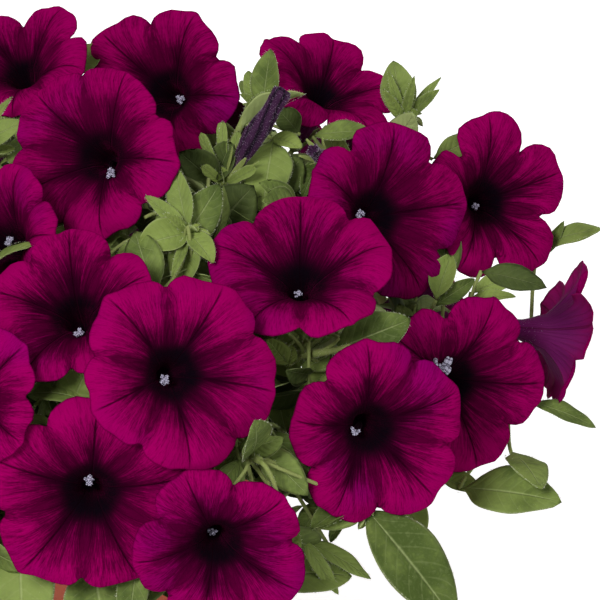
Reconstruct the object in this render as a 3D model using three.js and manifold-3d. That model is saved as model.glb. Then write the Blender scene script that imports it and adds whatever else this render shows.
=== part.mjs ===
// A petunia in full bloom in a round plastic pot: pot, potting mix, leafy stems and open blooms.
// Millimetres, +Z up. The origin is the middle of the pot's foot. The front of the plant looks along -Y.
import * as THREE from 'three';
import { mergeVertices } from 'three/addons/utils/BufferGeometryUtils.js';
import Module from 'manifold-3d';

const wasm = await Module();
wasm.setup();

// Pot: a tapered 13 cm pot with a rim band
const POT_HEIGHT = 115;
const FOOT_RADIUS = 45;
const RIM_RADIUS = 65;
const BAND_RADIUS = 63;
const BAND_HEIGHT = 20;
const SHOULDER_RADIUS = 60;
const LIP_HEIGHT = 3;
const FLOOR_THICKNESS = 2.6;
const INNER_FOOT_RADIUS = 43.2;
const INNER_RIM_RADIUS = 61.4;
const FOOT_CHAMFER = 1.5;
const POT_SEGMENTS = 32;
const DRAIN_HOLES = 6;
const DRAIN_HOLE_RADIUS = 4.5;
const DRAIN_RING_RADIUS = 32;

// Potting mix
const GAP = 0.3;
const SOIL_TOP = 100;
const SOIL_BUMP = 1.6;
const SOIL_SEGMENTS = 20;
const HOLE_DEPTH = 16;
const HOLE_SIDES = 6;

// Faces of a stem with its leaves that differ by less than this are joined
const FACE_TOLERANCE = 0.04;

// Stems and flower stalks
const STEM_RADIUS = 1.9;
const STEM_SIDES = 5;
const STEM_STEPS = 7;
const STRAIGHT_ABOVE_SOIL = 8;
const STALK_RADIUS = 1.0;
const STALK_SIDES = 3;
const STALK_STEPS = 4;

// Corolla: a long tube that opens into a five-lobed limb
const COROLLA_LENGTH = 36;
const LOBES = 5;
const PETAL_THICKNESS = 0.9;
const FUNNEL_DEPTH = 11;
const FUNNEL_START = 0.21;
const FUNNEL_POWER = 2.2;
const TUBE_RADIUS = 3.3;
const TUBE_DEPTH = 19;
const TUBE_WALL = 0.8;
const TUBE_BASE_RADIUS = 2;
const TUBE_SEAT = 0.6;
const COLUMN_RADIUS = 0.9;
const COLUMN_SIDES = 3;
const ANTHER_RADIUS = 2.1;

// Calyx: a cup of five narrow sepals that the tube stands in
const CUP_RADIUS = 3;
const CUP_INNER_RADIUS = 2.45;
const SEPAL_LENGTH = 11;
const SEPAL_SPREAD = 6;

// Leaves
const LEAF_THICKNESS = 1;
const TEST_THICKNESS = 3;
const TEST_FROM = 0.16;
const SMALL_LEAF = 26;
const LARGE_LEAF = 36;
const GOLDEN_ANGLE = 137.5;
const LOWEST_LEAF = 0.35;
const HIGHEST_LEAF = 0.95;

// Twigs
const TWIG_RADIUS = 0.8;
const TWIG_SIDES = 3;
const TWIG_STEPS = 3;
const LOWEST_TWIG = 0.25;
const TWIG_SPOTS = 16;
const HANGING = 0.3;
const LAST_SEAT = 0.94;

// Leafy shoots, spread evenly over a dome a little inside the blooms
const DOME_FOOT = 105;
const DOME_OUT = 128;
const DOME_UP = 112;
const SHOOT_SPOTS = 22;
const SHOOT_LOWEST = -8;
const SHOOT_HIGHEST = 84;
const SHOOT_LEAVES = 4;
const SHOOT_ROOM = 7;
const SHOOT_DEPTHS = [1, 0.92, 0.84, 0.76, 0.68];
const SPRIGS_FROM = -30;
const SPRIGS_TO = 115;

const DEG = Math.PI / 180;
const UP = new THREE.Vector3(0, 0, 1);
const vec = (x, y, z) => new THREE.Vector3(x, y, z);
const mix = (a, b, share) => a + (b - a) * share;

// The same draws on every run
function seededDraws(seed) {
  let state = seed;
  return () => {
    state = (state * 16807) % 2147483647;
    return state / 2147483647;
  };
}

// A direction: turn is from the front towards +X, lift is above the horizon, in degrees.
function heading(turn, lift) {
  const level = Math.cos(lift * DEG);
  return vec(Math.sin(turn * DEG) * level, -Math.cos(turn * DEG) * level, Math.sin(lift * DEG));
}

// A point given round the pot's axis
function spot(around, out, up) {
  return heading(around, 0).multiplyScalar(out).setZ(up);
}

// Blooms: where the limb's middle is (around, out, up), which way it faces (turn, lift),
// its radius, its roll about its own axis, and how deep the notches between its lobes are.
const BLOOMS = [
  { name: 'bloom_01', stem: 2, along: 0.8, around: -141.5, out: 70, up: 227, turn: -29, lift: 60, radius: 28, roll: 6, notch: 0.14 },
  { name: 'bloom_02', stem: 1, along: 0.75, around: -19.5, out: 30, up: 223, turn: -24, lift: 32, radius: 33, roll: 4, notch: 0.08 },
  { name: 'bloom_03', stem: 2, along: 0.9, around: 168, out: 55, up: 215, turn: -24, lift: 32, radius: 33, roll: 4, notch: 0.12 },
  { name: 'bloom_04', stem: 3, along: 0.8, around: 125, out: 96, up: 219, turn: 61, lift: 62, radius: 30.5, roll: 30, notch: 0.14 },
  { name: 'bloom_05', stem: 4, along: 0.6, around: 88, out: 98, up: 188, turn: 31, lift: 28, radius: 34, roll: -6, notch: 0.12 },
  { name: 'bloom_06', stem: 4, along: 0.85, around: 102, out: 145, up: 179, turn: 33, lift: 25, radius: 32.5, roll: 7, notch: 0.2 },
  { name: 'bloom_07', stem: 5, along: 0.7, around: 73.5, out: 132, up: 131, turn: 25, lift: 7, radius: 36, roll: -8, notch: 0.12 },
  { name: 'bloom_08', stem: 5, along: 0.85, around: 92, out: 169, up: 132, turn: 100, lift: -14, radius: 28, roll: 0, notch: 0.14 },
  { name: 'bloom_09', stem: 7, along: 0.75, around: 15.5, out: 142, up: 117, turn: 6, lift: 7, radius: 31, roll: 40, notch: 0.12 },
  { name: 'bloom_10', stem: 8, along: 0.8, around: -9, out: 94, up: 191, turn: -13, lift: 48, radius: 30, roll: 30, notch: 0.12 },
  { name: 'bloom_11', stem: 1, along: 0.6, around: -42, out: 67, up: 198, turn: -44, lift: 31, radius: 28, roll: 20, notch: 0.12 },
  { name: 'bloom_12', stem: 9, along: 0.7, around: -24.5, out: 125, up: 165, turn: -26, lift: 23, radius: 28.5, roll: 50, notch: 0.12 },
  { name: 'bloom_13', stem: 6, along: 0.85, around: 46, out: 92, up: 193, turn: 0, lift: 63, radius: 33, roll: 18, notch: 0.08 },
  { name: 'bloom_14', stem: 7, along: 0.9, around: 12, out: 116, up: 176, turn: 20, lift: 29, radius: 35, roll: 52, notch: 0.08 },
  { name: 'bloom_15', stem: 6, along: 0.65, around: 45.5, out: 131, up: 140, turn: 17, lift: 12, radius: 33.5, roll: 20, notch: 0.1 },
  { name: 'bloom_16', stem: 8, along: 0.6, around: -3.5, out: 128, up: 133, turn: 0, lift: 13, radius: 36, roll: 12, notch: 0.1 },
  { name: 'bloom_17', stem: 9, along: 0.9, around: -33, out: 138, up: 109, turn: -33, lift: 12, radius: 32, roll: 33, notch: 0.1 },
  { name: 'bloom_18', stem: 10, along: 0.65, around: -63, out: 133, up: 131, turn: -60, lift: 17, radius: 33, roll: 10, notch: 0.12 },
  { name: 'bloom_19', stem: 10, along: 0.85, around: -93, out: 137, up: 118, turn: -90, lift: 13, radius: 32, roll: 55, notch: 0.1 },
  { name: 'bloom_20', stem: 10, along: 0.95, around: -72, out: 102, up: 184, turn: -66, lift: 35, radius: 32, roll: 25, notch: 0.1 },
  { name: 'bloom_21', stem: 11, along: 0.65, around: -122, out: 131, up: 138, turn: -120, lift: 19, radius: 33, roll: 0, notch: 0.12 },
  { name: 'bloom_22', stem: 11, along: 0.85, around: -112, out: 97, up: 189, turn: -106, lift: 36, radius: 31, roll: 45, notch: 0.1 },
  { name: 'bloom_23', stem: 11, along: 0.9, around: -150, out: 137, up: 116, turn: -150, lift: 13, radius: 32, roll: 20, notch: 0.14 },
  { name: 'bloom_24', stem: 12, along: 0.7, around: -153, out: 103, up: 182, turn: -152, lift: 33, radius: 32, roll: 60, notch: 0.1 },
  { name: 'bloom_25', stem: 12, along: 0.85, around: 178, out: 134, up: 127, turn: 178, lift: 19, radius: 33, roll: 15, notch: 0.1 },
  { name: 'bloom_26', stem: 13, along: 0.9, around: 168, out: 100, up: 187, turn: 165, lift: 31, radius: 31, roll: 35, notch: 0.12 },
  { name: 'bloom_27', stem: 13, along: 0.65, around: 148, out: 137, up: 116, turn: 148, lift: 13, radius: 32, roll: 5, notch: 0.1 },
  { name: 'bloom_28', stem: 14, along: 0.9, around: 136, out: 122, up: 166, turn: 134, lift: 27, radius: 30, roll: 50, notch: 0.14 },
  { name: 'bloom_29', stem: 14, along: 0.65, around: 119, out: 135, up: 124, turn: 119, lift: 15, radius: 32, roll: 22, notch: 0.1 },
];

// Closed and withered blooms: long pleated spindles
const BUDS = [
  { name: 'bud_01', stem: 3, along: 0.6, around: 92, out: 60, up: 235, turn: 97, lift: 59, length: 39, radius: 4.2 },
  { name: 'bud_02', stem: 10, along: 0.75, around: -85, out: 112, up: 160, turn: -75, lift: 45, length: 30, radius: 3.6 },
  { name: 'bud_03', stem: 13, along: 0.75, around: 157, out: 128, up: 150, turn: 157, lift: 40, length: 30, radius: 3.6 },
  { name: 'bud_04', stem: 4, along: 0.8, around: 96, out: 71, up: 209, turn: -44, lift: 43, length: 11, radius: 2.8 },
];

// Leafy stems: hole in the potting mix (around, out), a point that the stem bends towards, and its tip
const STEMS = [
  { name: 'stem_01', hole: [-20, 5], via: [0, -8, 160], tip: [24, -52, 196], leaves: 3 },
  { name: 'stem_02', hole: [180, 6], via: [-5, 45, 165], tip: [0, 88, 190], leaves: 3 },
  { name: 'stem_03', hole: [80, 6], via: [20, 8, 165], tip: [47, 29, 218], leaves: 3 },
  { name: 'stem_04', hole: [98, 15], via: [50, 12, 160], tip: [104, 42, 196], leaves: 3 },
  { name: 'stem_05', hole: [72, 16], via: [70, 0, 135], tip: [140, 0, 108], leaves: 3 },
  { name: 'stem_06', hole: [45, 16], via: [40, -42, 140], tip: [84, -78, 168], leaves: 3 },
  { name: 'stem_07', hole: [17, 16], via: [22, -62, 130], tip: [52, -112, 140], leaves: 3 },
  { name: 'stem_08', hole: [-8, 16], via: [-8, -62, 130], tip: [-20, -108, 152], leaves: 3 },
  { name: 'stem_09', hole: [-34, 16], via: [-40, -62, 125], tip: [-66, -92, 140], leaves: 5 },
  { name: 'stem_10', hole: [-72, 16], via: [-62, -20, 140], tip: [-118, -24, 152], leaves: 5 },
  { name: 'stem_11', hole: [-118, 16], via: [-55, 28, 140], tip: [-98, 52, 158], leaves: 5 },
  { name: 'stem_12', hole: [-158, 16], via: [-18, 60, 140], tip: [-36, 108, 158], leaves: 5 },
  { name: 'stem_13', hole: [160, 16], via: [22, 62, 135], tip: [70, 100, 145], leaves: 5 },
  { name: 'stem_14', hole: [124, 16], via: [55, 38, 130], tip: [92, 74, 152], leaves: 5 },
];

// Leaves with places of their own: where their twig ends, and the tip, the width and the facing of each leaf.
const SPRIGS = [
  // Shoot at the top of stem_01
  {
    to: [26, -51, 201],
    leaves: [
      { tip: [21, -34, 219], width: 11, turn: -30, lift: 40 },
      { tip: [10, -45, 209], width: 6, turn: -10, lift: 50 },
      { tip: [8, -59, 199], width: 14, turn: -10, lift: 40 },
      { tip: [-2, -47, 188], width: 11, turn: 0, lift: 40 },
      { tip: [35, -65, 195], width: 9, turn: 20, lift: 30 },
      { tip: [20, -69, 191], width: 4, turn: 0, lift: 20 },
      { tip: [23, -62, 184], width: 12, turn: 0, lift: 50 },
      { tip: [17, -54, 210], width: 4, turn: -20, lift: 50 },
    ],
  },
  // Shoot at the top of stem_03
  {
    to: [52, 32, 214],
    leaves: [
      { tip: [55, 40, 237], width: 12, turn: -20, lift: 15 },
      { tip: [46, 48, 225], width: 7, turn: -20, lift: 30 },
      { tip: [43, 50, 220], width: 5, turn: -20, lift: 40 },
      { tip: [43, 29, 223], width: 4, turn: 0, lift: 40 },
      { tip: [44, 24, 221], width: 3, turn: 0, lift: 40 },
      { tip: [62, 46, 222], width: 9, turn: 10, lift: 30 },
    ],
  },
  // Broad leaf under bud_01
  {
    to: [56, 18, 209],
    leaves: [
      { tip: [52, -18, 198], width: 19, turn: 0, lift: 50 },
      { tip: [67, 11, 208], width: 8, turn: 10, lift: 50 },
    ],
  },
  // Between bloom_01 and bloom_03
  {
    to: [-10, 84, 202],
    leaves: [
      { tip: [-12, 82, 223], width: 12, turn: 0, lift: 30 },
    ],
  },
  // Beside bloom_02
  {
    to: [-56, 10, 209],
    leaves: [
      { tip: [-37, 8, 220], width: 11, turn: -10, lift: 40 },
      { tip: [-37, -12, 196], width: 9, turn: -10, lift: 40 },
      { tip: [-41, 13, 207], width: 6, turn: -10, lift: 40 },
      { tip: [-43, 29, 222], width: 4, turn: -10, lift: 40 },
    ],
  },
  // Between bloom_05 and bloom_06
  {
    to: [117, 39, 192],
    leaves: [
      { tip: [136, 48, 198], width: 10, turn: 10, lift: 40 },
    ],
  },
  // Behind bloom_06
  {
    to: [160, 52, 149],
    leaves: [
      { tip: [183, 31, 166], width: 10, turn: 20, lift: 50 },
      { tip: [169, 44, 164], width: 6, turn: 20, lift: 40 },
    ],
  },
  // Shoot at the top of stem_04
  {
    to: [106, 53, 203],
    leaves: [
      { tip: [102, 59, 225], width: 15, turn: 0, lift: 20 },
      { tip: [121, 62, 217], width: 4, turn: 0, lift: 40 },
      { tip: [120, 54, 215], width: 5, turn: 0, lift: 40 },
      { tip: [98, 49, 217], width: 5, turn: -10, lift: 30 },
      { tip: [100, 55, 222], width: 4, turn: 0, lift: 30 },
      { tip: [110, 51, 222], width: 4, turn: 0, lift: 30 },
      { tip: [112, 47, 208], width: 7, turn: 20, lift: 40 },
    ],
  },
  // Below bloom_08
  {
    to: [153, -18, 116],
    leaves: [
      { tip: [179, -16, 112], width: 9, turn: 20, lift: 60 },
    ],
  },
  // Below bloom_07
  {
    to: [126, -45, 93],
    leaves: [
      { tip: [163, -63, 97], width: 22, turn: 25, lift: 50 },
    ],
  },
  {
    to: [146, -29, 100],
    leaves: [
      { tip: [155, -66, 104], width: 15, turn: 20, lift: 40 },
    ],
  },
  // Below bloom_15
  {
    to: [88, -89, 110],
    leaves: [
      { tip: [122, -108, 76], width: 26, turn: 15, lift: 45 },
      { tip: [70, -104, 108], width: 10, turn: -10, lift: 50 },
      { tip: [77, -90, 95], width: 5, turn: 0, lift: 50 },
    ],
  },
  {
    to: [52, -104, 89],
    leaves: [
      { tip: [85, -97, 85], width: 20, turn: 0, lift: 60 },
    ],
  },
  {
    to: [67, -95, 99],
    leaves: [
      { tip: [92, -94, 82], width: 8, turn: 60, lift: 20 },
      { tip: [80, -102, 80], width: 6, turn: 0, lift: 30 },
    ],
  },
  {
    to: [101, -70, 106],
    leaves: [
      { tip: [111, -80, 92], width: 12, turn: 20, lift: 50 },
    ],
  },
  {
    to: [119, -36, 93],
    leaves: [
      { tip: [134, -45, 91], width: 10, turn: 10, lift: 60 },
    ],
  },
  // Between bloom_05, bloom_06 and bloom_07
  {
    to: [131, 1, 153],
    leaves: [
      { tip: [149, 7, 157], width: 8, turn: 10, lift: 50 },
      { tip: [148, -3, 153], width: 5, turn: 10, lift: 50 },
    ],
  },
  {
    to: [117, -13, 156],
    leaves: [
      { tip: [123, 0, 169], width: 11, turn: -10, lift: 30 },
      { tip: [132, -6, 162], width: 7, turn: 10, lift: 30 },
    ],
  },
  // Between bloom_04, bloom_05 and bloom_13
  {
    to: [71, 28, 206],
    leaves: [
      { tip: [93, 23, 210], width: 10, turn: 0, lift: 60 },
    ],
  },
  {
    to: [73, 15, 202],
    leaves: [
      { tip: [67, -4, 194], width: 8, turn: 0, lift: 50 },
    ],
  },
  // Between bloom_13 and bloom_15
  {
    to: [97, -38, 154],
    leaves: [
      { tip: [66, -67, 153], width: 14, turn: 0, lift: 55 },
    ],
  },
  {
    to: [77, -43, 157],
    leaves: [
      { tip: [98, -42, 155], width: 9, turn: 10, lift: 50 },
    ],
  },
  {
    to: [77, -58, 149],
    leaves: [
      { tip: [66, -71, 145], width: 12, turn: 0, lift: 50 },
    ],
  },
  {
    to: [62, -68, 156],
    leaves: [
      { tip: [54, -68, 167], width: 9, turn: -20, lift: 40 },
      { tip: [63, -67, 164], width: 5, turn: 10, lift: 40 },
    ],
  },
  // Between bloom_14 and bloom_15
  {
    to: [54, -52, 153],
    leaves: [
      { tip: [61, -75, 132], width: 16, turn: 0, lift: 30 },
      { tip: [65, -53, 141], width: 14, turn: 10, lift: 40 },
    ],
  },
  {
    to: [52, -90, 142],
    leaves: [
      { tip: [78, -104, 121], width: 12, turn: -20, lift: 40 },
      { tip: [46, -102, 139], width: 8, turn: 0, lift: 40 },
      { tip: [53, -106, 137], width: 5, turn: 0, lift: 40 },
    ],
  },
  {
    to: [24, -110, 133],
    leaves: [
      { tip: [42, -110, 136], width: 7, turn: 0, lift: 50 },
    ],
  },
  {
    to: [63, -112, 99],
    leaves: [
      { tip: [62, -108, 113], width: 8, turn: 10, lift: 40 },
    ],
  },
  // Between bloom_10, bloom_14 and bloom_16
  {
    to: [-9, -89, 154],
    leaves: [
      { tip: [-24, -91, 159], width: 14, turn: 0, lift: 50 },
    ],
  },
  // Between bloom_02, bloom_10 and bloom_11
  {
    to: [-4, -34, 196],
    leaves: [
      { tip: [-31, -37, 199], width: 7, turn: 0, lift: 50 },
    ],
  },
  // Hanging over the pot
  {
    to: [-34, -105, 109],
    leaves: [
      { tip: [-32, -129, 73], width: 26, turn: -10, lift: 25 },
    ],
  },
  {
    to: [-8, -113, 103],
    leaves: [
      { tip: [-2, -131, 72], width: 27, turn: -4, lift: 25 },
    ],
  },
  {
    to: [9, -119, 109],
    leaves: [
      { tip: [5, -136, 81], width: 12, turn: -4, lift: 25 },
    ],
  },
  // Long sepals of bud_01
  {
    to: [38, -1, 197],
    leaves: [
      { tip: [29, 3, 218], width: 4, turn: -20, lift: 40 },
      { tip: [37, 14, 218], width: 5, turn: -10, lift: 30 },
      { tip: [29, -6, 208], width: 5, turn: 0, lift: 40 },
      { tip: [43, 14, 214], width: 4, turn: 0, lift: 30 },
      { tip: [50, -6, 209], width: 5, turn: 10, lift: 40 },
    ],
  },
];

// A solid from a three.js geometry whose surface is closed
function toSolid(geometry) {
  const bare = geometry.clone();
  bare.deleteAttribute('normal');
  bare.deleteAttribute('uv');
  const merged = mergeVertices(bare, 1e-3);
  const triVerts = new Uint32Array(merged.index.array);
  const build = () => new wasm.Manifold(
    new wasm.Mesh({ numProp: 3, vertProperties: new Float32Array(merged.attributes.position.array), triVerts }),
  );
  const solid = build();
  if (solid.volume() > 0) return solid;
  for (let i = 0; i < triVerts.length; i += 3) {
    [triVerts[i + 1], triVerts[i + 2]] = [triVerts[i + 2], triVerts[i + 1]];
  }
  return build();
}

// A closed body from rings of points. Each ring starts at the same side; the first and last may be one point.
function bodyFromRings(rings) {
  const corners = [];
  const add = (...points) => points.forEach((p) => corners.push(p.x, p.y, p.z));
  for (let k = 0; k + 1 < rings.length; k += 1) {
    const lower = rings[k];
    const upper = rings[k + 1];
    const lowerSteps = lower.length > 1 ? lower.length : 0;
    const upperSteps = upper.length > 1 ? upper.length : 0;
    let i = 0;
    let j = 0;
    while (i < lowerSteps || j < upperSteps) {
      const a = lower[i % lower.length];
      const b = upper[j % upper.length];
      const lowerFirst = i < lowerSteps && (j >= upperSteps || (i + 1) / lowerSteps <= (j + 1) / upperSteps);
      if (lowerFirst) {
        i += 1;
        add(a, lower[i % lower.length], b);
      } else {
        j += 1;
        add(a, upper[j % upper.length], b);
      }
    }
  }
  const geometry = new THREE.BufferGeometry();
  geometry.setAttribute('position', new THREE.Float32BufferAttribute(corners, 3));
  return toSolid(geometry);
}

// Rings of a rod along a curve, evenly spaced. The last one starts towards `side`, where that is given.
function rodRings(curve, radius, sides, steps, side = null) {
  const points = curve.getSpacedPoints(steps);
  const { normals, binormals } = curve.computeFrenetFrames(steps);
  const first = side ? Math.atan2(side.dot(binormals[steps]), side.dot(normals[steps])) : 0;
  return points.map((middle, k) => Array.from({ length: sides }, (_, i) => {
    const angle = first + (i / sides) * 2 * Math.PI;
    return middle.clone()
      .addScaledVector(normals[k], radius * Math.cos(angle))
      .addScaledVector(binormals[k], radius * Math.sin(angle));
  }));
}

// A plain rod along a curve
function rod(curve, radius, sides, steps) {
  const section = new THREE.Shape();
  for (let i = 0; i < sides; i += 1) {
    const angle = (i / sides) * 2 * Math.PI;
    const [x, y] = [radius * Math.cos(angle), radius * Math.sin(angle)];
    if (i === 0) section.moveTo(x, y);
    else section.lineTo(x, y);
  }
  return toSolid(new THREE.ExtrudeGeometry(section, { steps, extrudePath: curve, bevelEnabled: false }));
}

// The axes of a bloom: right and up as its viewer sees them, and out towards the viewer
function bloomAxes({ turn, lift }) {
  const out = heading(turn, lift);
  const right = UP.clone().cross(out).normalize();
  return { right, up: out.clone().cross(right), out };
}

function bloomMiddle({ around, out, up }) {
  return spot(around, out, up);
}

// Where a bloom's or bud's tube stands in its calyx
function calyxSpot(flower) {
  const length = flower.length ?? COROLLA_LENGTH;
  return bloomMiddle(flower).addScaledVector(heading(flower.turn, flower.lift), -length);
}

// How the limb's edge and height vary round the flower. The angle starts at a notch.
function limbShare(bloom, angle) {
  const lobe = (2 * Math.PI) / LOBES;
  const fromNotch = Math.abs(((angle / lobe + 0.5) % 1) - 0.5) * 2;
  const notch = 1 - bloom.notch * (1 - fromNotch) ** 2.2;
  return notch * (1 + 0.035 * Math.cos(angle + bloom.roll) + 0.03 * Math.cos(2 * angle - bloom.roll));
}

function limbHeight(bloom, share, angle) {
  const funnel = -FUNNEL_DEPTH * (Math.max(0, 1 - share) / (1 - FUNNEL_START)) ** FUNNEL_POWER;
  const wave = 1.3 * Math.cos(2 * angle + bloom.roll) + 0.9 * Math.cos(3 * angle - 2 * bloom.roll);
  const lobeLift = 0.8 * -Math.cos(LOBES * angle);
  return funnel + share * share * (wave + lobeLift) - 1.6 * share ** 6;
}

function bloomSolid(bloom) {
  const middle = bloomMiddle(bloom);
  const axes = bloomAxes(bloom);
  const start = (bloom.roll + 180 / LOBES) * DEG;
  const point = (radius, height, angle) => middle.clone()
    .addScaledVector(axes.right, radius * Math.cos(angle + start))
    .addScaledVector(axes.up, radius * Math.sin(angle + start))
    .addScaledVector(axes.out, height);
  const ring = (count, radiusAt, heightAt) => Array.from({ length: count }, (_, i) => {
    const angle = (i / count) * 2 * Math.PI;
    return point(radiusAt(angle), heightAt(angle), angle);
  });
  const plainRing = (radius, height) => ring(LOBES, () => radius, () => height);
  const limbRing = (count, share, wider, lower) => ring(
    count,
    (angle) => bloom.radius * share * limbShare(bloom, angle) + wider,
    (angle) => limbHeight(bloom, share, angle) - lower,
  );
  const base = -COROLLA_LENGTH + TUBE_SEAT;
  const columnRing = (radius, height) => ring(COLUMN_SIDES, () => radius, () => height);
  return bodyFromRings([
    [point(0, base, 0)],
    plainRing(TUBE_BASE_RADIUS, base),
    plainRing(TUBE_RADIUS + TUBE_WALL, -TUBE_DEPTH - TUBE_WALL),
    limbRing(2 * LOBES, 0.42, 0.5, PETAL_THICKNESS),
    limbRing(4 * LOBES, 1, 0, 0),
    limbRing(3 * LOBES, 0.66, 0, 0),
    limbRing(2 * LOBES, 0.36, 0, 0),
    plainRing(TUBE_RADIUS, -TUBE_DEPTH),
    columnRing(COLUMN_RADIUS, -TUBE_DEPTH - 4),
    columnRing(COLUMN_RADIUS, -13),
    columnRing(ANTHER_RADIUS, -11.3),
    [point(0, -9.6, 0)],
  ]);
}

function budSolid(bud) {
  const foot = calyxSpot(bud);
  const axes = bloomAxes(bud);
  const ring = (share, girth) => Array.from({ length: 2 * LOBES }, (_, i) => {
    const angle = (i / (2 * LOBES)) * 2 * Math.PI + share * 0.8;
    const radius = bud.radius * girth * (i % 2 ? 0.72 : 1);
    return foot.clone()
      .addScaledVector(axes.right, radius * Math.cos(angle))
      .addScaledVector(axes.up, radius * Math.sin(angle))
      .addScaledVector(axes.out, mix(TUBE_SEAT, bud.length, share));
  });
  const end = (share) => [foot.clone().addScaledVector(axes.out, mix(TUBE_SEAT, bud.length, share))];
  return bodyFromRings([end(0), ring(0, 0.45), ring(0.3, 0.7), ring(0.72, 1), ring(0.94, 0.6), end(1)]);
}

// A calyx, from where its cup begins. It stands on a stalk, or for a trial on a point.
function calyxRings(flower, right = bloomAxes(flower).right) {
  const foot = calyxSpot(flower);
  const { out } = bloomAxes(flower);
  const across = right.clone().addScaledVector(out, -out.dot(right)).normalize();
  const up = out.clone().cross(across);
  const point = (radius, height, angle) => foot.clone()
    .addScaledVector(across, radius * Math.cos(angle))
    .addScaledVector(up, radius * Math.sin(angle))
    .addScaledVector(out, height);
  const ring = (radius, height) => Array.from({ length: LOBES }, (_, i) => (
    point(radius, height, (i / LOBES) * 2 * Math.PI)
  ));
  const star = Array.from({ length: 2 * LOBES }, (_, i) => {
    const angle = (i / (2 * LOBES)) * 2 * Math.PI;
    return i % 2 ? point(CUP_RADIUS + 0.6, 2.2, angle) : point(SEPAL_SPREAD, SEPAL_LENGTH, angle);
  });
  return [ring(CUP_RADIUS, 0), star, ring(CUP_INNER_RADIUS, GAP), [point(0, 0, 0)]];
}

function calyxSolid(flower) {
  const below = calyxSpot(flower).addScaledVector(bloomAxes(flower).out, -CUP_RADIUS);
  return bodyFromRings([[below], ...calyxRings(flower)]);
}

// A flower stalk with its calyx
function stalkSolid(curve, flower) {
  const rings = rodRings(curve, STALK_RADIUS, STALK_SIDES, STALK_STEPS).slice(0, STALK_STEPS);
  const right = curve.computeFrenetFrames(STALK_STEPS).normals[STALK_STEPS];
  return bodyFromRings([[curve.getPoint(0)], ...rings, ...calyxRings(flower, right)]);
}

// Leaves: a folded, drooping blade. `cut` is where the body starts, `thickness` what it is at the midrib.
function leafShape(share) {
  const x = Math.max(0, (share - 0.08) / 0.92);
  return Math.sin(Math.PI * x ** 0.85) ** 0.75;
}

function leafPoint(leaf, share, side, above) {
  const bend = Math.max(leaf.droop, 1e-3);
  const angle = bend * share;
  const half = Math.max((leaf.width / 2) * leafShape(share), share < 0.5 ? 1.1 : 0);
  const across = leaf.across;
  const normal = leaf.face.clone().multiplyScalar(Math.cos(angle)).addScaledVector(leaf.along, Math.sin(angle));
  return leaf.root.clone()
    .addScaledVector(leaf.along, (leaf.length * Math.sin(angle)) / bend)
    .addScaledVector(leaf.face, (-leaf.length * (1 - Math.cos(angle))) / bend)
    .addScaledVector(across, side * half * Math.cos(leaf.fold))
    .addScaledVector(normal, Math.abs(side) * half * Math.sin(leaf.fold) + above);
}

function leafRings(leaf, thickness = LEAF_THICKNESS, cut = 0) {
  const small = leaf.length < SMALL_LEAF;
  const ring = (share) => {
    const [left, right] = [leafPoint(leaf, share, -1, 0), leafPoint(leaf, share, 1, 0)];
    if (small) return [left, right, leafPoint(leaf, share, 0, -thickness)];
    return [left, leafPoint(leaf, share, 0, thickness / 2), right, leafPoint(leaf, share, 0, -thickness / 2)];
  };
  const first = Math.max(0.12, cut + 0.04);
  let shares = [first, 0.36, 0.62, 0.84];
  if (leaf.length < LARGE_LEAF) shares = [first, 0.4, 0.74];
  if (small) shares = [Math.max(0.3, first), 0.68];
  return [...shares.map(ring), [leafPoint(leaf, 1, 0, 0)]];
}

function leafSolid(leaf, thickness = LEAF_THICKNESS, cut = 0) {
  return bodyFromRings([[leafPoint(leaf, cut, 0, 0)], ...leafRings(leaf, thickness, cut)]);
}

// A leaf with the twig that it ends
function leafyTwigSolid(curve, leaf) {
  const side = leaf.across.clone().negate();
  return bodyFromRings([
    [curve.getPoint(0)], ...rodRings(curve, TWIG_RADIUS, TWIG_SIDES, TWIG_STEPS, side), ...leafRings(leaf),
  ]);
}

// Pot and potting mix
function lathe(profile, segments) {
  const geometry = new THREE.LatheGeometry(profile.map(([r, z]) => new THREE.Vector2(r, z)), segments);
  return geometry.rotateX(Math.PI / 2);
}

function upright(radius, bottom, top, sides) {
  return new THREE.CylinderGeometry(radius, radius, top - bottom, sides)
    .rotateX(Math.PI / 2)
    .translate(0, 0, (top + bottom) / 2);
}

function potSolid() {
  const bandBottom = POT_HEIGHT - BAND_HEIGHT;
  let pot = toSolid(lathe([
    [0, 0],
    [FOOT_RADIUS - FOOT_CHAMFER, 0],
    [FOOT_RADIUS, FOOT_CHAMFER],
    [SHOULDER_RADIUS, bandBottom - 2],
    [BAND_RADIUS, bandBottom],
    [BAND_RADIUS + 1, POT_HEIGHT - LIP_HEIGHT],
    [RIM_RADIUS, POT_HEIGHT - LIP_HEIGHT + 0.6],
    [RIM_RADIUS, POT_HEIGHT - 0.5],
    [RIM_RADIUS - 1, POT_HEIGHT],
    [INNER_RIM_RADIUS, POT_HEIGHT],
    [INNER_FOOT_RADIUS, FLOOR_THICKNESS],
    [0, FLOOR_THICKNESS],
  ], POT_SEGMENTS));
  for (let i = 0; i < DRAIN_HOLES; i += 1) {
    const centre = spot((i * 360) / DRAIN_HOLES, DRAIN_RING_RADIUS, 0);
    const hole = upright(DRAIN_HOLE_RADIUS, -1, FLOOR_THICKNESS + 1, HOLE_SIDES).translate(centre.x, centre.y, 0);
    pot = pot.subtract(toSolid(hole));
  }
  return pot;
}

function innerRadius(z) {
  return mix(INNER_FOOT_RADIUS, INNER_RIM_RADIUS, (z - FLOOR_THICKNESS) / (POT_HEIGHT - FLOOR_THICKNESS));
}

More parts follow.
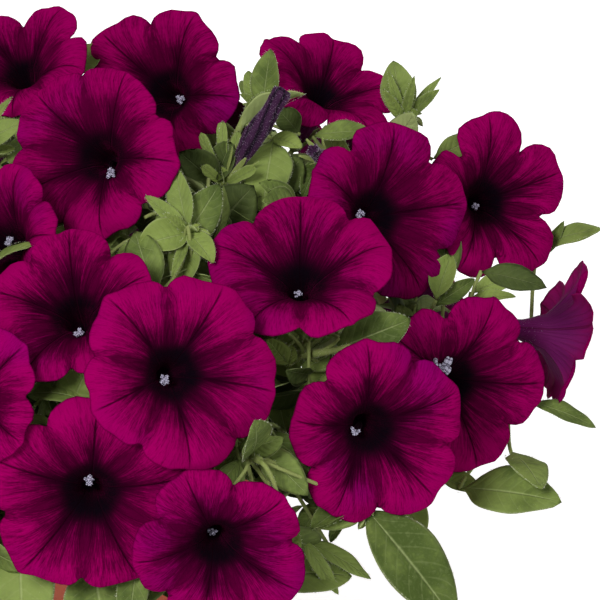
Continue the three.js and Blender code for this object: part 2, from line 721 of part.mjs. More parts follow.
function soilSolid() {
  const bottom = FLOOR_THICKNESS + GAP;
  const wallRadius = (z) => (innerRadius(z) - 2 * GAP) * Math.cos(Math.PI / POT_SEGMENTS);
  const body = lathe([
    [0, bottom],
    [wallRadius(bottom), bottom],
    [wallRadius(SOIL_TOP - 3), SOIL_TOP - 3],
    [wallRadius(SOIL_TOP) - 3, SOIL_TOP],
    [40, SOIL_TOP], [25, SOIL_TOP], [0, SOIL_TOP],
  ], SOIL_SEGMENTS);
  const places = body.attributes.position;
  for (let i = 0; i < places.count; i += 1) {
    const [x, y, z] = [places.getX(i), places.getY(i), places.getZ(i)];
    if (z > SOIL_TOP - 1) {
      places.setZ(i, z + SOIL_BUMP * Math.sin(x * 0.23 + 1) * Math.cos(y * 0.19 - x * 0.05));
    }
  }
  let soil = toSolid(body);
  STEMS.forEach((stem) => {
    const centre = spot(stem.hole[0], stem.hole[1], 0);
    const hole = upright(STEM_RADIUS + 2 * GAP, SOIL_TOP - HOLE_DEPTH, SOIL_TOP + 9, HOLE_SIDES);
    soil = soil.subtract(toSolid(hole.translate(centre.x, centre.y, 0)));
  });
  return soil;
}

// The place on a rod's middle line that is nearest to a point
function onRod(curve, steps, point) {
  const corners = curve.getSpacedPoints(steps);
  const nearest = vec(0, 0, 0);
  let least = Infinity;
  for (let i = 0; i < steps; i += 1) {
    const foot = new THREE.Line3(corners[i], corners[i + 1]).closestPointToPoint(point, true, vec(0, 0, 0));
    const far = foot.distanceTo(point);
    if (far < least) {
      least = far;
      nearest.copy(foot);
    }
  }
  return nearest;
}

// Routes of stems and flower stalks
function stemBend(stem) {
  const start = spot(stem.hole[0], stem.hole[1], SOIL_TOP + STRAIGHT_ABOVE_SOIL);
  const via = vec(...stem.via);
  const tip = vec(...stem.tip);
  return new THREE.CubicBezierCurve3(
    start,
    start.clone().addScaledVector(UP, 30),
    via,
    tip,
  );
}

function stemRoute(stem) {
  const route = new THREE.CurvePath();
  const foot = spot(stem.hole[0], stem.hole[1], SOIL_TOP - HOLE_DEPTH + GAP);
  const bend = stemBend(stem);
  route.add(new THREE.LineCurve3(foot, bend.v0));
  route.add(bend);
  return route;
}

function stemPoint(stem, along) {
  return onRod(stemRoute(stem), STEM_STEPS, stemBend(stem).getPoint(along));
}

// Ways for a stalk to go round what is in its way, as sideways and upward swings
const STALK_SWINGS = [
  [0, 0], [0, 10], [10, 0], [-10, 0], [0, -10], [14, 10], [-14, 10], [0, 20], [20, 0], [-20, 0], [0, -20],
  [28, 10], [-28, 10], [28, -10], [-28, -10],
];

function stalkCurve(stem, flower, [sideways, upward]) {
  const from = stemPoint(stem, flower.along);
  const to = calyxSpot(flower);
  const reach = from.distanceTo(to);
  const out = heading(flower.turn, flower.lift);
  const side = UP.clone().cross(out).normalize();
  const shift = side.multiplyScalar(sideways).addScaledVector(UP, upward);
  const leave = stemBend(stem).getTangent(flower.along).add(to.clone().sub(from).normalize()).normalize();
  return new THREE.CubicBezierCurve3(
    from,
    from.clone().addScaledVector(leave, reach * 0.35).add(shift),
    to.clone().addScaledVector(out, -reach * 0.4).addScaledVector(shift, 0.4),
    to,
  );
}

// What has been placed so far, so that the next piece can be bent clear of it
const placed = [];
function remember(owner, kind, solid) {
  placed.push({ owner, kind, solid, box: solid.boundingBox() });
}

function boxesMeet(a, b) {
  return [0, 1, 2].every((i) => a.min[i] <= b.max[i] && b.min[i] <= a.max[i]);
}

function isClear(solid, ignore) {
  const box = solid.boundingBox();
  return placed.every((other) => (
    ignore(other) || !boxesMeet(box, other.box) || solid.intersect(other.solid).isEmpty()
  ));
}

const pieces = new Map();
const colours = {
  pot: new THREE.MeshStandardMaterial({ color: 0x95533a, roughness: 0.6, metalness: 0 }),
  soil: new THREE.MeshStandardMaterial({ color: 0x2b1f17, roughness: 1, metalness: 0 }),
  petal: new THREE.MeshStandardMaterial({ color: 0x8c0354, roughness: 0.7, metalness: 0 }),
  bud: new THREE.MeshStandardMaterial({ color: 0x40203f, roughness: 0.8, metalness: 0 }),
  leaf: new THREE.MeshStandardMaterial({ color: 0x6f8040, roughness: 0.75, metalness: 0 }),
};

pieces.set('pot', [potSolid(), colours.pot]);
pieces.set('potting_mix', [soilSolid(), colours.soil]);
BLOOMS.forEach((bloom) => pieces.set(bloom.name, [bloomSolid(bloom), colours.petal]));
BUDS.forEach((bud) => pieces.set(bud.name, [budSolid(bud), colours.bud]));
pieces.forEach(([solid], name) => remember(name, 'body', solid));

const flowers = [...BLOOMS, ...BUDS];
const green = new Map(STEMS.map((stem) => [stem.name, []]));
function grow(stem, kind, solid) {
  green.get(stem.name).push(solid);
  remember(stem.name, kind, solid);
}

// Stems first, then calyces, then stalks bent clear of the blooms
STEMS.forEach((stem) => grow(stem, 'stem', rod(stemRoute(stem), STEM_RADIUS, STEM_SIDES, STEM_STEPS)));
const stemOf = (flower) => STEMS[flower.stem - 1];
flowers.forEach((flower) => remember(stemOf(flower).name, 'calyx', calyxSolid(flower)));
flowers.forEach((flower) => {
  const stem = stemOf(flower);
  const ignore = (other) => other.owner === stem.name || other.owner === flower.name;
  const swing = STALK_SWINGS.find((swings) => (
    isClear(rod(stalkCurve(stem, flower, swings), STALK_RADIUS * 2, STALK_SIDES, STALK_STEPS), ignore)
  ));
  if (!swing) console.warn(`no clear way for the stalk of ${flower.name}`);
  grow(stem, 'stalk', stalkSolid(stalkCurve(stem, flower, swing ?? STALK_SWINGS[0]), flower));
});

// The stem that passes nearest to a place, and where. Twigs rather rise than hang.
function nearestStem(place) {
  let best = null;
  STEMS.forEach((stem) => {
    const bend = stemBend(stem);
    for (let i = 0; i <= TWIG_SPOTS; i += 1) {
      const along = mix(LOWEST_TWIG, 1, i / TWIG_SPOTS);
      const from = bend.getPoint(along);
      const cost = from.distanceTo(place) + HANGING * Math.max(0, from.z - place.z);
      if (!best || cost < best.cost) best = { stem, along, ahead: bend.getTangent(along), cost };
    }
  });
  return { ...best, from: stemPoint(best.stem, best.along) };
}

// A twig from a stem to a place, as a curve. It leaves along its stem and ends level or rising.
function twigCurve({ from, ahead }, place, [sideways, upward]) {
  const reach = from.distanceTo(place);
  const outwards = place.clone().sub(from).normalize();
  const side = UP.clone().cross(outwards).normalize();
  const shift = side.multiplyScalar(sideways).addScaledVector(UP, upward);
  return new THREE.CubicBezierCurve3(
    from,
    from.clone().addScaledVector(ahead, reach * 0.3).addScaledVector(outwards, reach * 0.1).add(shift),
    place.clone().addScaledVector(outwards, -reach * 0.35).addScaledVector(shift, 0.5),
    place,
  );
}

// Bends a twig clear of all that isn't its own stem's. Gives its curve, or nothing where there is no way.
function placeTwig(origin, place) {
  const others = (other) => other.owner === origin.stem.name;
  const swing = STALK_SWINGS.find((swings) => (
    isClear(rod(twigCurve(origin, place, swings), TWIG_RADIUS * 2, TWIG_SIDES, TWIG_STEPS), others)
  ));
  if (!swing) return null;
  const curve = twigCurve(origin, place, swing);
  remember(origin.stem.name, 'twig', rod(curve, TWIG_RADIUS, TWIG_SIDES, TWIG_STEPS));
  return curve;
}

// A leaf from its root to its tip, its upper face looking along `facing`
function leafBetween(root, tip, width, facing, droop, fold) {
  const chord = tip.clone().sub(root);
  const length = (chord.length() * droop) / 2 / Math.sin(droop / 2);
  chord.normalize();
  const above = facing.clone().addScaledVector(chord, -facing.dot(chord)).normalize();
  const along = chord.clone().multiplyScalar(Math.cos(droop / 2)).addScaledVector(above, Math.sin(droop / 2));
  const face = above.multiplyScalar(Math.cos(droop / 2)).addScaledVector(chord, -Math.sin(droop / 2));
  return { root, along, face, across: along.clone().cross(face), length, width, droop, fold };
}

// Shifts of a leaf's tip to try until the leaf is clear
const TIP_SHIFTS = [0, 4, 8, 12].flatMap((far) => [
  [0, 0, far], [0, 0, -far], [0, far, 0], [0, -far, 0], [far, 0, 0], [-far, 0, 0],
]);

SPRIGS.forEach((sprig, index) => {
  const draw = seededDraws(7 + 13 * index);
  const root = vec(...sprig.to);
  const origin = nearestStem(root);
  const { stem } = origin;
  const clear = placeTwig(origin, root);
  if (!clear) console.warn(`no clear way for the twig of sprig ${index}`);
  const curve = clear ?? twigCurve(origin, root, STALK_SWINGS[0]);
  const seat = onRod(curve, TWIG_STEPS, curve.getPoint(LAST_SEAT));
  sprig.leaves.forEach(({ tip, width, turn, lift }, i) => {
    const droop = mix(0.4, 0.9, draw());
    const fold = mix(0.12, 0.4, draw());
    const made = TIP_SHIFTS
      .map((shift) => leafBetween(
        i === 0 ? root : seat, vec(...tip).add(vec(...shift)), width, heading(turn, lift), droop, fold,
      ))
      .find((leaf) => isClear(leafSolid(leaf, TEST_THICKNESS, TEST_FROM), (other) => other.owner === stem.name));
    if (!made) console.warn(`no room for the leaf of sprig ${index} to ${tip}`);
    else grow(stem, 'leaf', i === 0 ? leafyTwigSolid(curve, made) : leafSolid(made));
  });
});

// A leaf at a place on its stem or twig. Its upper face looks to the tip, to the sky and outwards.
function leafAt(carrier, along, spin, opening, length, width, droop, fold) {
  const root = carrier.pointAt(along);
  const ahead = carrier.curve.getTangent(along);
  const side = ahead.clone().cross(Math.abs(ahead.z) > 0.9 ? vec(1, 0, 0) : UP).normalize();
  const radial = side.applyAxisAngle(ahead, spin * DEG);
  const direction = ahead.clone().multiplyScalar(Math.cos(opening * DEG))
    .addScaledVector(radial, Math.sin(opening * DEG));
  const outwards = vec(root.x, root.y, 0).normalize();
  const face = ahead.clone().multiplyScalar(Math.sin(opening * DEG))
    .addScaledVector(radial, -Math.cos(opening * DEG))
    .addScaledVector(UP, 0.7)
    .addScaledVector(outwards, 0.5);
  face.addScaledVector(direction, -face.dot(direction)).normalize();
  return { root, along: direction, face, across: direction.clone().cross(face), length, width, droop, fold };
}

// Turns and sizes to try until a leaf is clear of the rest
const SPINS = [0, 24, -24, 48, -48, 75, -75, 105, -105, 140, -140, 175];
const SIZES = [1, 0.86, 0.74, 0.62];
const OPENINGS = [0, 14, -14];

function placeLeaf(stem, carrier, leaf) {
  const { along, spin, opening, length, width, droop, fold } = leaf;
  for (const size of SIZES) {
    for (const wider of OPENINGS) {
      for (const turn of SPINS) {
        const made = leafAt(
          carrier, along, spin + turn, opening + wider, length * size, width * size, droop, fold,
        );
        const whole = leafSolid(made, TEST_THICKNESS);
        const blade = leafSolid(made, TEST_THICKNESS, TEST_FROM);
        const own = (other) => other.owner === stem.name;
        if (isClear(blade, (other) => !own(other)) && isClear(whole, own)) {
          remember(stem.name, 'leaf', leafSolid(made));
          return made;
        }
      }
    }
  }
  return null;
}

STEMS.forEach((stem, index) => {
  const draw = seededDraws(101 + 37 * index);
  const firstSpin = 360 * draw();
  for (let i = 0; i < stem.leaves; i += 1) {
    const share = i / (stem.leaves - 1);
    const size = Math.sin(Math.PI * mix(0.42, 0.9, share));
    const length = mix(22, 50, size) * mix(0.9, 1.1, draw());
    const made = placeLeaf(stem, { curve: stemBend(stem), pointAt: (along) => stemPoint(stem, along) }, {
      along: mix(LOWEST_LEAF, HIGHEST_LEAF, share ** 0.8),
      spin: firstSpin + GOLDEN_ANGLE * i + 30 * draw(),
      opening: mix(68, 30, share),
      length,
      width: length * mix(0.46, 0.56, draw()),
      droop: mix(0.4, 0.9, draw()),
      fold: mix(0.12, 0.4, draw()),
    });
    if (made) green.get(stem.name).push(leafSolid(made));
  }
});

// Leafy shoots where the dome still has room
for (let spotIndex = 0; spotIndex < SHOOT_SPOTS; spotIndex += 1) {
  const around = (((GOLDEN_ANGLE * spotIndex + 180) % 360) + 360) % 360 - 180;
  const draw = seededDraws(907 + 61 * spotIndex);
  const height = mix(Math.sin(SHOOT_LOWEST * DEG), Math.sin(SHOOT_HIGHEST * DEG), (spotIndex + 0.5) / SHOOT_SPOTS);
  const lift = Math.asin(height) / DEG;
  const direction = heading(GOLDEN_ANGLE * spotIndex, lift);
  const firstSpin = 360 * draw();
  const leaves = Array.from({ length: SHOOT_LEAVES }, (_, i) => {
    const share = i / (SHOOT_LEAVES - 1);
    const length = mix(24, 38, share) * mix(0.9, 1.1, draw());
    return {
      along: mix(1, 0.75, share),
      spin: firstSpin + GOLDEN_ANGLE * i,
      opening: mix(24, 62, share),
      length,
      width: length * mix(0.46, 0.56, draw()),
      droop: mix(0.3, 0.8, draw()),
      fold: mix(0.15, 0.45, draw()),
    };
  });
  for (const depth of SHOOT_DEPTHS) {
    const place = direction.clone().multiply(vec(DOME_OUT, DOME_OUT, DOME_UP)).multiplyScalar(depth);
    place.z += DOME_FOOT;
    const room = toSolid(new THREE.IcosahedronGeometry(SHOOT_ROOM).translate(place.x, place.y, place.z));
    const full = around > SPRIGS_FROM && around < SPRIGS_TO;
    if (!full && isClear(room, () => false)) {
      const origin = nearestStem(place);
      const curve = placeTwig(origin, place);
      if (curve) {
        const pointAt = (along) => (along === 1 ? place : onRod(curve, TWIG_STEPS, curve.getPoint(along)));
        const [last, ...others] = leaves.map((leaf) => placeLeaf(origin.stem, { curve, pointAt }, leaf));
        const bare = rod(curve, TWIG_RADIUS, TWIG_SIDES, TWIG_STEPS);
        green.get(origin.stem.name).push(last ? leafyTwigSolid(curve, last) : bare);
        others.filter(Boolean).forEach((leaf) => green.get(origin.stem.name).push(leafSolid(leaf)));
        break;
      }
    }
  }
}

STEMS.forEach((stem) => {
  const whole = wasm.Manifold.union(green.get(stem.name)).asOriginal().simplify(FACE_TOLERANCE);
  pieces.set(stem.name, [whole, colours.leaf]);
});

const plant = new THREE.Group();
pieces.forEach(([solid, colour], name) => {
  const { numProp, vertProperties, triVerts } = solid.getMesh();
  const geometry = new THREE.BufferGeometry();
  const places = new Float32Array((vertProperties.length / numProp) * 3);
  for (let i = 0; i < places.length / 3; i += 1) {
    places.set(vertProperties.subarray(i * numProp, i * numProp + 3), i * 3);
  }
  geometry.setAttribute('position', new THREE.BufferAttribute(places, 3));
  geometry.setIndex(new THREE.BufferAttribute(triVerts, 1));
  geometry.computeVertexNormals();
  const mesh = new THREE.Mesh(geometry, colour);
  mesh.name = name;
  plant.add(mesh);
});

export default plant;
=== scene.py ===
"""A petunia in full bloom in a round plastic pot, dressed over its CAD frame.

Sizes are in millimetres until a mesh is made, and the front of the plant looks along -Y.
"""
from math import asin, atan2, cos, degrees, pi, radians, sin

import bmesh
import bpy
import numpy as np
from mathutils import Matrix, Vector
from mathutils.kdtree import KDTree


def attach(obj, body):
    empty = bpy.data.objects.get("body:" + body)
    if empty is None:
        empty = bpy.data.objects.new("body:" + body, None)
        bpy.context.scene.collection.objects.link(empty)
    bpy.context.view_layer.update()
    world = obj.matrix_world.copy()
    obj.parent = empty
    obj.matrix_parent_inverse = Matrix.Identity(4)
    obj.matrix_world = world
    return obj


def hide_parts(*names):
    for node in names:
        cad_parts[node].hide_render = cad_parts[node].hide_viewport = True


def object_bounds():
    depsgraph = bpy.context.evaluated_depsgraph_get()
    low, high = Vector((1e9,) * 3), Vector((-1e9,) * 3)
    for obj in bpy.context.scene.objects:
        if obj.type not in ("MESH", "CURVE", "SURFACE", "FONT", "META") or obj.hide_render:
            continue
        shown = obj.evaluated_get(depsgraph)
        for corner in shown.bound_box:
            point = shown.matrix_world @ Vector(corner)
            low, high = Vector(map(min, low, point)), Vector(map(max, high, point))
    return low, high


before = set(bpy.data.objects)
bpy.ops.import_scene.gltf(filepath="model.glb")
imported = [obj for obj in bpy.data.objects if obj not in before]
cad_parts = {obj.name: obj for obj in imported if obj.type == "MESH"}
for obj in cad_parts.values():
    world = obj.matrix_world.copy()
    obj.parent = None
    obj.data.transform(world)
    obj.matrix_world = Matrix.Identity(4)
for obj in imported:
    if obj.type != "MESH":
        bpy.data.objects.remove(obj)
CAD_BOX = [list(corner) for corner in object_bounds()]

bl_info = {
    "name": "Potted petunia",
    "version": (1, 0, 0),
    "blender": (4, 5, 0),
    "location": "3D View > Sidebar > Petunia",
    "description": "Blooms, buds, leafy stems, pot and potting mix of a petunia",
    "category": "Add Mesh",
}

MM = 0.001
UP = np.array([0.0, 0.0, 1.0])

# Pot and potting mix
POT_HEIGHT = 115
FOOT_RADIUS = 45
RIM_RADIUS = 65
BAND_RADIUS = 63
BAND_HEIGHT = 20
SHOULDER_RADIUS = 60
LIP_HEIGHT = 3
FLOOR_THICKNESS = 2.6
INNER_FOOT_RADIUS = 43.2
INNER_RIM_RADIUS = 61.4
FOOT_CHAMFER = 1.5
FOOT_RECESS = 1.2
POT_EDGE_ROUNDING = 0.5
DRAIN_HOLES = 6
DRAIN_HOLE_RADIUS = 4.5
DRAIN_RING_RADIUS = 32
GAP = 0.3
SOIL_TOP = 100
HOLE_DEPTH = 16

# Stems, flower stalks and twigs
STEM_RADIUS = 1.9
STEM_STEPS = 7
STRAIGHT_ABOVE_SOIL = 8
STALK_RADIUS = 1.0
STALK_STEPS = 4
TWIG_RADIUS = 0.8
TWIG_STEPS = 3
ROD_DOME = 0.3
LOWEST_TWIG = 0.25
TWIG_SPOTS = 16
HANGING = 0.3
LAST_SEAT = 0.94

# Corolla and calyx
COROLLA_LENGTH = 36
LOBES = 5
LOBE_ANGLE = 2 * pi / LOBES
FUNNEL_DEPTH = 11
FUNNEL_START = 0.21
FUNNEL_POWER = 2.2
TUBE_DEPTH = 19
TUBE_SEAT = 0.6
FILAMENT_RADIUS = 0.26
CUP_RADIUS = 3
SEPAL_LENGTH = 11
SEPAL_SPREAD = 6

# Leaves
GOLDEN_ANGLE = 137.5
LOWEST_LEAF = 0.35
HIGHEST_LEAF = 0.95
# From the first leaf of a stem to its last: the length of small and large ones, and the angle they open by
LEAF_LENGTHS = (22, 50)
LEAF_OPENINGS = (68, 30)
# What a leaf draws for itself: a share of its length, its width beside that, its droop and its fold
LENGTH_VARIES = (0.9, 1.1)
LEAF_SLIMNESS = (0.46, 0.56)
LEAF_DROOPS = (0.4, 0.9)
LEAF_FOLDS = (0.12, 0.4)

# Leafy shoots, spread over a dome a little inside the blooms. Pairs run from a shoot's first leaf to its
# last, or are the least and the most. The side from 30 degrees left to 115 right of the front has leaves
# with places of their own instead.
DOME_FOOT = 105
DOME_SIZE = np.array([128.0, 128, 112])
SHOOT_SPOTS = 22
SHOOT_LOWEST = -8
SHOOT_HIGHEST = 84
SHOOT_LEAVES = 4
SHOOT_LENGTHS = (24, 38)
SHOOT_OPENINGS = (24, 62)
SHOOT_PLACES = (1, 0.75)
SHOOT_DROOPS = (0.3, 0.8)
SHOOT_FOLDS = (0.15, 0.45)
SHOOT_DEPTHS = [1, 0.92, 0.84, 0.76, 0.68]
SPRIGS_FROM = -30
SPRIGS_TO = 115

# How near a corner of the CAD model has to be to a worked out place to count as that place, for rods
# and for the tips of leaves, and how many corners of a shoot's twig have to be there
ROD_TOUCH = 0.06
TIP_TOUCH = 0.12
LEAST_FIT = 4

# Outline of a corolla, from the tube's foot over the margin into the throat. The tube's rows give
# radius and height from the limb's middle, and the limb's rows give shares of its radius.
TUBE_FOOT = TUBE_SEAT - COROLLA_LENGTH
TUBE_OUTSIDE = [
    (0, TUBE_FOOT), (1.9, TUBE_FOOT), (2.5, -32), (3.0, -27.5), (3.5, -23), (4.1, -19), (5.2, -15.6),
    (6.6, -12.8),
]
TUBE_INSIDE = [(5.1, -13.2), (4.0, -16), (3.1, -19), (2.6, -23), (0, -24)]
LIMB_UNDER = [0.26, 0.32, 0.39, 0.47, 0.56, 0.65, 0.74, 0.83, 0.91, 0.965]
LIMB_UPPER = [
    0.995, 0.985, 0.96, 0.92, 0.88, 0.83, 0.78, 0.73, 0.67, 0.61, 0.55, 0.49, 0.43, 0.38, 0.33, 0.285,
    0.245, 0.21,
]
# How far each row of the limb lies below its upper face: the petal's thickness
LIMB_THICKNESS = [0.55] * 8 + [0.5, 0.42, 0.2, 0.03] + [0] * (len(LIMB_UPPER) - 1)

# Outline of a closed bloom: its girth at shares of its length
BUD_SHARES = [0, 0.02, 0.06, 0.12, 0.2, 0.28, 0.36, 0.44, 0.52, 0.6, 0.68, 0.76, 0.83, 0.89, 0.94, 0.975, 1]
BUD_GIRTHS = [
    0.36, 0.4, 0.45, 0.53, 0.68, 0.84, 0.96, 1.03, 1.03, 0.97, 0.88, 0.8, 0.79, 0.85, 0.9, 0.86, 0.68,
]

# Room for the leaves that only this script adds: how often a place is sought for each, how far they keep
# from each other, from the buds, the pot's rim and the edges of the CAD model's box, and how low they hang
TRIES_A_LEAF = 14
LEAVES_APART = 6
BUD_ROOM = 6
RIM_ROOM = 6
BOX_ROOM = 2
LOWEST_ROOM = 84
# The room of a bloom: how far before and behind its limb, how far out in radii, and round its tube
BEFORE_LIMB = 40
BEHIND_LIMB = 3.5
BESIDE_LIMB = 1.05
BESIDE_TUBE = 5.5

# Camera: the place it looks at, how far from it, how steeply down, and the picture's scale there
CAMERA_TARGET = (66, -40, 169)
CAMERA_DISTANCE = 1300
CAMERA_TILT = 25
PICTURE_SIZE = 600
PIXELS_PER_MM = 2.72

# Lamps: the place in metres that they aim at, and for each its name, place, size and share of the light
LAMPS_AIM = (0.02, 0, 0.15)
LAMPS = [
    ("Key light", (-0.55, -1.35, 1.25), 0.6, 2.7),
    ("Fill light", (1.3, -0.6, 0.7), 1.2, 0.4),
    ("Back light", (0.4, 1.5, 1.1), 1.2, 0.7),
]
ROOM_LIGHT = 0.37
PAPER_GLOW = 0.75
FLOOR_RADIUS = 6


def table(titles, *rows):
    """Rows of values as dictionaries under the same titles"""
    return [dict(zip(titles.split(), row)) for row in rows]


# Blooms: where the limb's middle is (around, out, up), which way it faces (turn, lift),
# its radius, its roll about its own axis, and how deep the notches between its lobes are.
BLOOMS = table(
    "name stem along around out up turn lift radius roll notch",
    ("bloom_01", 2, 0.8, -141.5, 70, 227, -29, 60, 28, 6, 0.14),
    ("bloom_02", 1, 0.75, -19.5, 30, 223, -24, 32, 33, 4, 0.08),
    ("bloom_03", 2, 0.9, 168, 55, 215, -24, 32, 33, 4, 0.12),
    ("bloom_04", 3, 0.8, 125, 96, 219, 61, 62, 30.5, 30, 0.14),
    ("bloom_05", 4, 0.6, 88, 98, 188, 31, 28, 34, -6, 0.12),
    ("bloom_06", 4, 0.85, 102, 145, 179, 33, 25, 32.5, 7, 0.2),
    ("bloom_07", 5, 0.7, 73.5, 132, 131, 25, 7, 36, -8, 0.12),
    ("bloom_08", 5, 0.85, 92, 169, 132, 100, -14, 28, 0, 0.14),
    ("bloom_09", 7, 0.75, 15.5, 142, 117, 6, 7, 31, 40, 0.12),
    ("bloom_10", 8, 0.8, -9, 94, 191, -13, 48, 30, 30, 0.12),
    ("bloom_11", 1, 0.6, -42, 67, 198, -44, 31, 28, 20, 0.12),
    ("bloom_12", 9, 0.7, -24.5, 125, 165, -26, 23, 28.5, 50, 0.12),
    ("bloom_13", 6, 0.85, 46, 92, 193, 0, 63, 33, 18, 0.08),
    ("bloom_14", 7, 0.9, 12, 116, 176, 20, 29, 35, 52, 0.08),
    ("bloom_15", 6, 0.65, 45.5, 131, 140, 17, 12, 33.5, 20, 0.1),
    ("bloom_16", 8, 0.6, -3.5, 128, 133, 0, 13, 36, 12, 0.1),
    ("bloom_17", 9, 0.9, -33, 138, 109, -33, 12, 32, 33, 0.1),
    ("bloom_18", 10, 0.65, -63, 133, 131, -60, 17, 33, 10, 0.12),
    ("bloom_19", 10, 0.85, -93, 137, 118, -90, 13, 32, 55, 0.1),
    ("bloom_20", 10, 0.95, -72, 102, 184, -66, 35, 32, 25, 0.1),
    ("bloom_21", 11, 0.65, -122, 131, 138, -120, 19, 33, 0, 0.12),
    ("bloom_22", 11, 0.85, -112, 97, 189, -106, 36, 31, 45, 0.1),
    ("bloom_23", 11, 0.9, -150, 137, 116, -150, 13, 32, 20, 0.14),
    ("bloom_24", 12, 0.7, -153, 103, 182, -152, 33, 32, 60, 0.1),
    ("bloom_25", 12, 0.85, 178, 134, 127, 178, 19, 33, 15, 0.1),
    ("bloom_26", 13, 0.9, 168, 100, 187, 165, 31, 31, 35, 0.12),
    ("bloom_27", 13, 0.65, 148, 137, 116, 148, 13, 32, 5, 0.1),
    ("bloom_28", 14, 0.9, 136, 122, 166, 134, 27, 30, 50, 0.14),
    ("bloom_29", 14, 0.65, 119, 135, 124, 119, 15, 32, 22, 0.1),
)

# How far the anthers of some blooms lean to the right and up, how high they stand, and their size
ANTHER_LEANS = {
    "bloom_01": (0, 0, -19, 0.8), "bloom_02": (6.4, -5.6, -7, 1), "bloom_03": (6.2, -1.2, -8, 0.9),
    "bloom_04": (0, -2, -19, 0.8), "bloom_05": (-6.6, 1.9, -7, 1), "bloom_06": (-5.2, -1, -8, 0.8),
    "bloom_07": (-9, 10.5, 1.5, 2.1), "bloom_09": (-1, 0, -19, 0.8), "bloom_10": (2.6, -6.2, -8, 1),
    "bloom_13": (-0.8, -2.2, -13, 0.8), "bloom_14": (-3.2, -2, -9, 1), "bloom_15": (-5, -0.6, -10, 0.8),
    "bloom_16": (-0.5, 4.6, -8.5, 1),
}

# Closed and withered blooms: long pleated spindles. Around, out and up give the tip.
BUDS = table(
    "name stem along around out up turn lift length radius",
    ("bud_01", 3, 0.6, 92, 60, 235, 97, 59, 39, 4.2),
    ("bud_02", 10, 0.75, -85, 112, 160, -75, 45, 30, 3.6),
    ("bud_03", 13, 0.75, 157, 128, 150, 157, 40, 30, 3.6),
    ("bud_04", 4, 0.8, 96, 71, 209, -44, 43, 11, 2.8),
)

# Leafy stems: hole in the potting mix (around, out), a point that the stem bends towards, and its tip
STEMS = table(
    "name hole via tip leaves",
    ("stem_01", (-20, 5), (0, -8, 160), (24, -52, 196), 3),
    ("stem_02", (180, 6), (-5, 45, 165), (0, 88, 190), 3),
    ("stem_03", (80, 6), (20, 8, 165), (47, 29, 218), 3),
    ("stem_04", (98, 15), (50, 12, 160), (104, 42, 196), 3),
    ("stem_05", (72, 16), (70, 0, 135), (140, 0, 108), 3),
    ("stem_06", (45, 16), (40, -42, 140), (84, -78, 168), 3),
    ("stem_07", (17, 16), (22, -62, 130), (52, -112, 140), 3),
    ("stem_08", (-8, 16), (-8, -62, 130), (-20, -108, 152), 3),
    ("stem_09", (-34, 16), (-40, -62, 125), (-66, -92, 140), 5),
    ("stem_10", (-72, 16), (-62, -20, 140), (-118, -24, 152), 5),
    ("stem_11", (-118, 16), (-55, 28, 140), (-98, 52, 158), 5),
    ("stem_12", (-158, 16), (-18, 60, 140), (-36, 108, 158), 5),
    ("stem_13", (160, 16), (22, 62, 135), (70, 100, 145), 5),
    ("stem_14", (124, 16), (55, 38, 130), (92, 74, 152), 5),
)

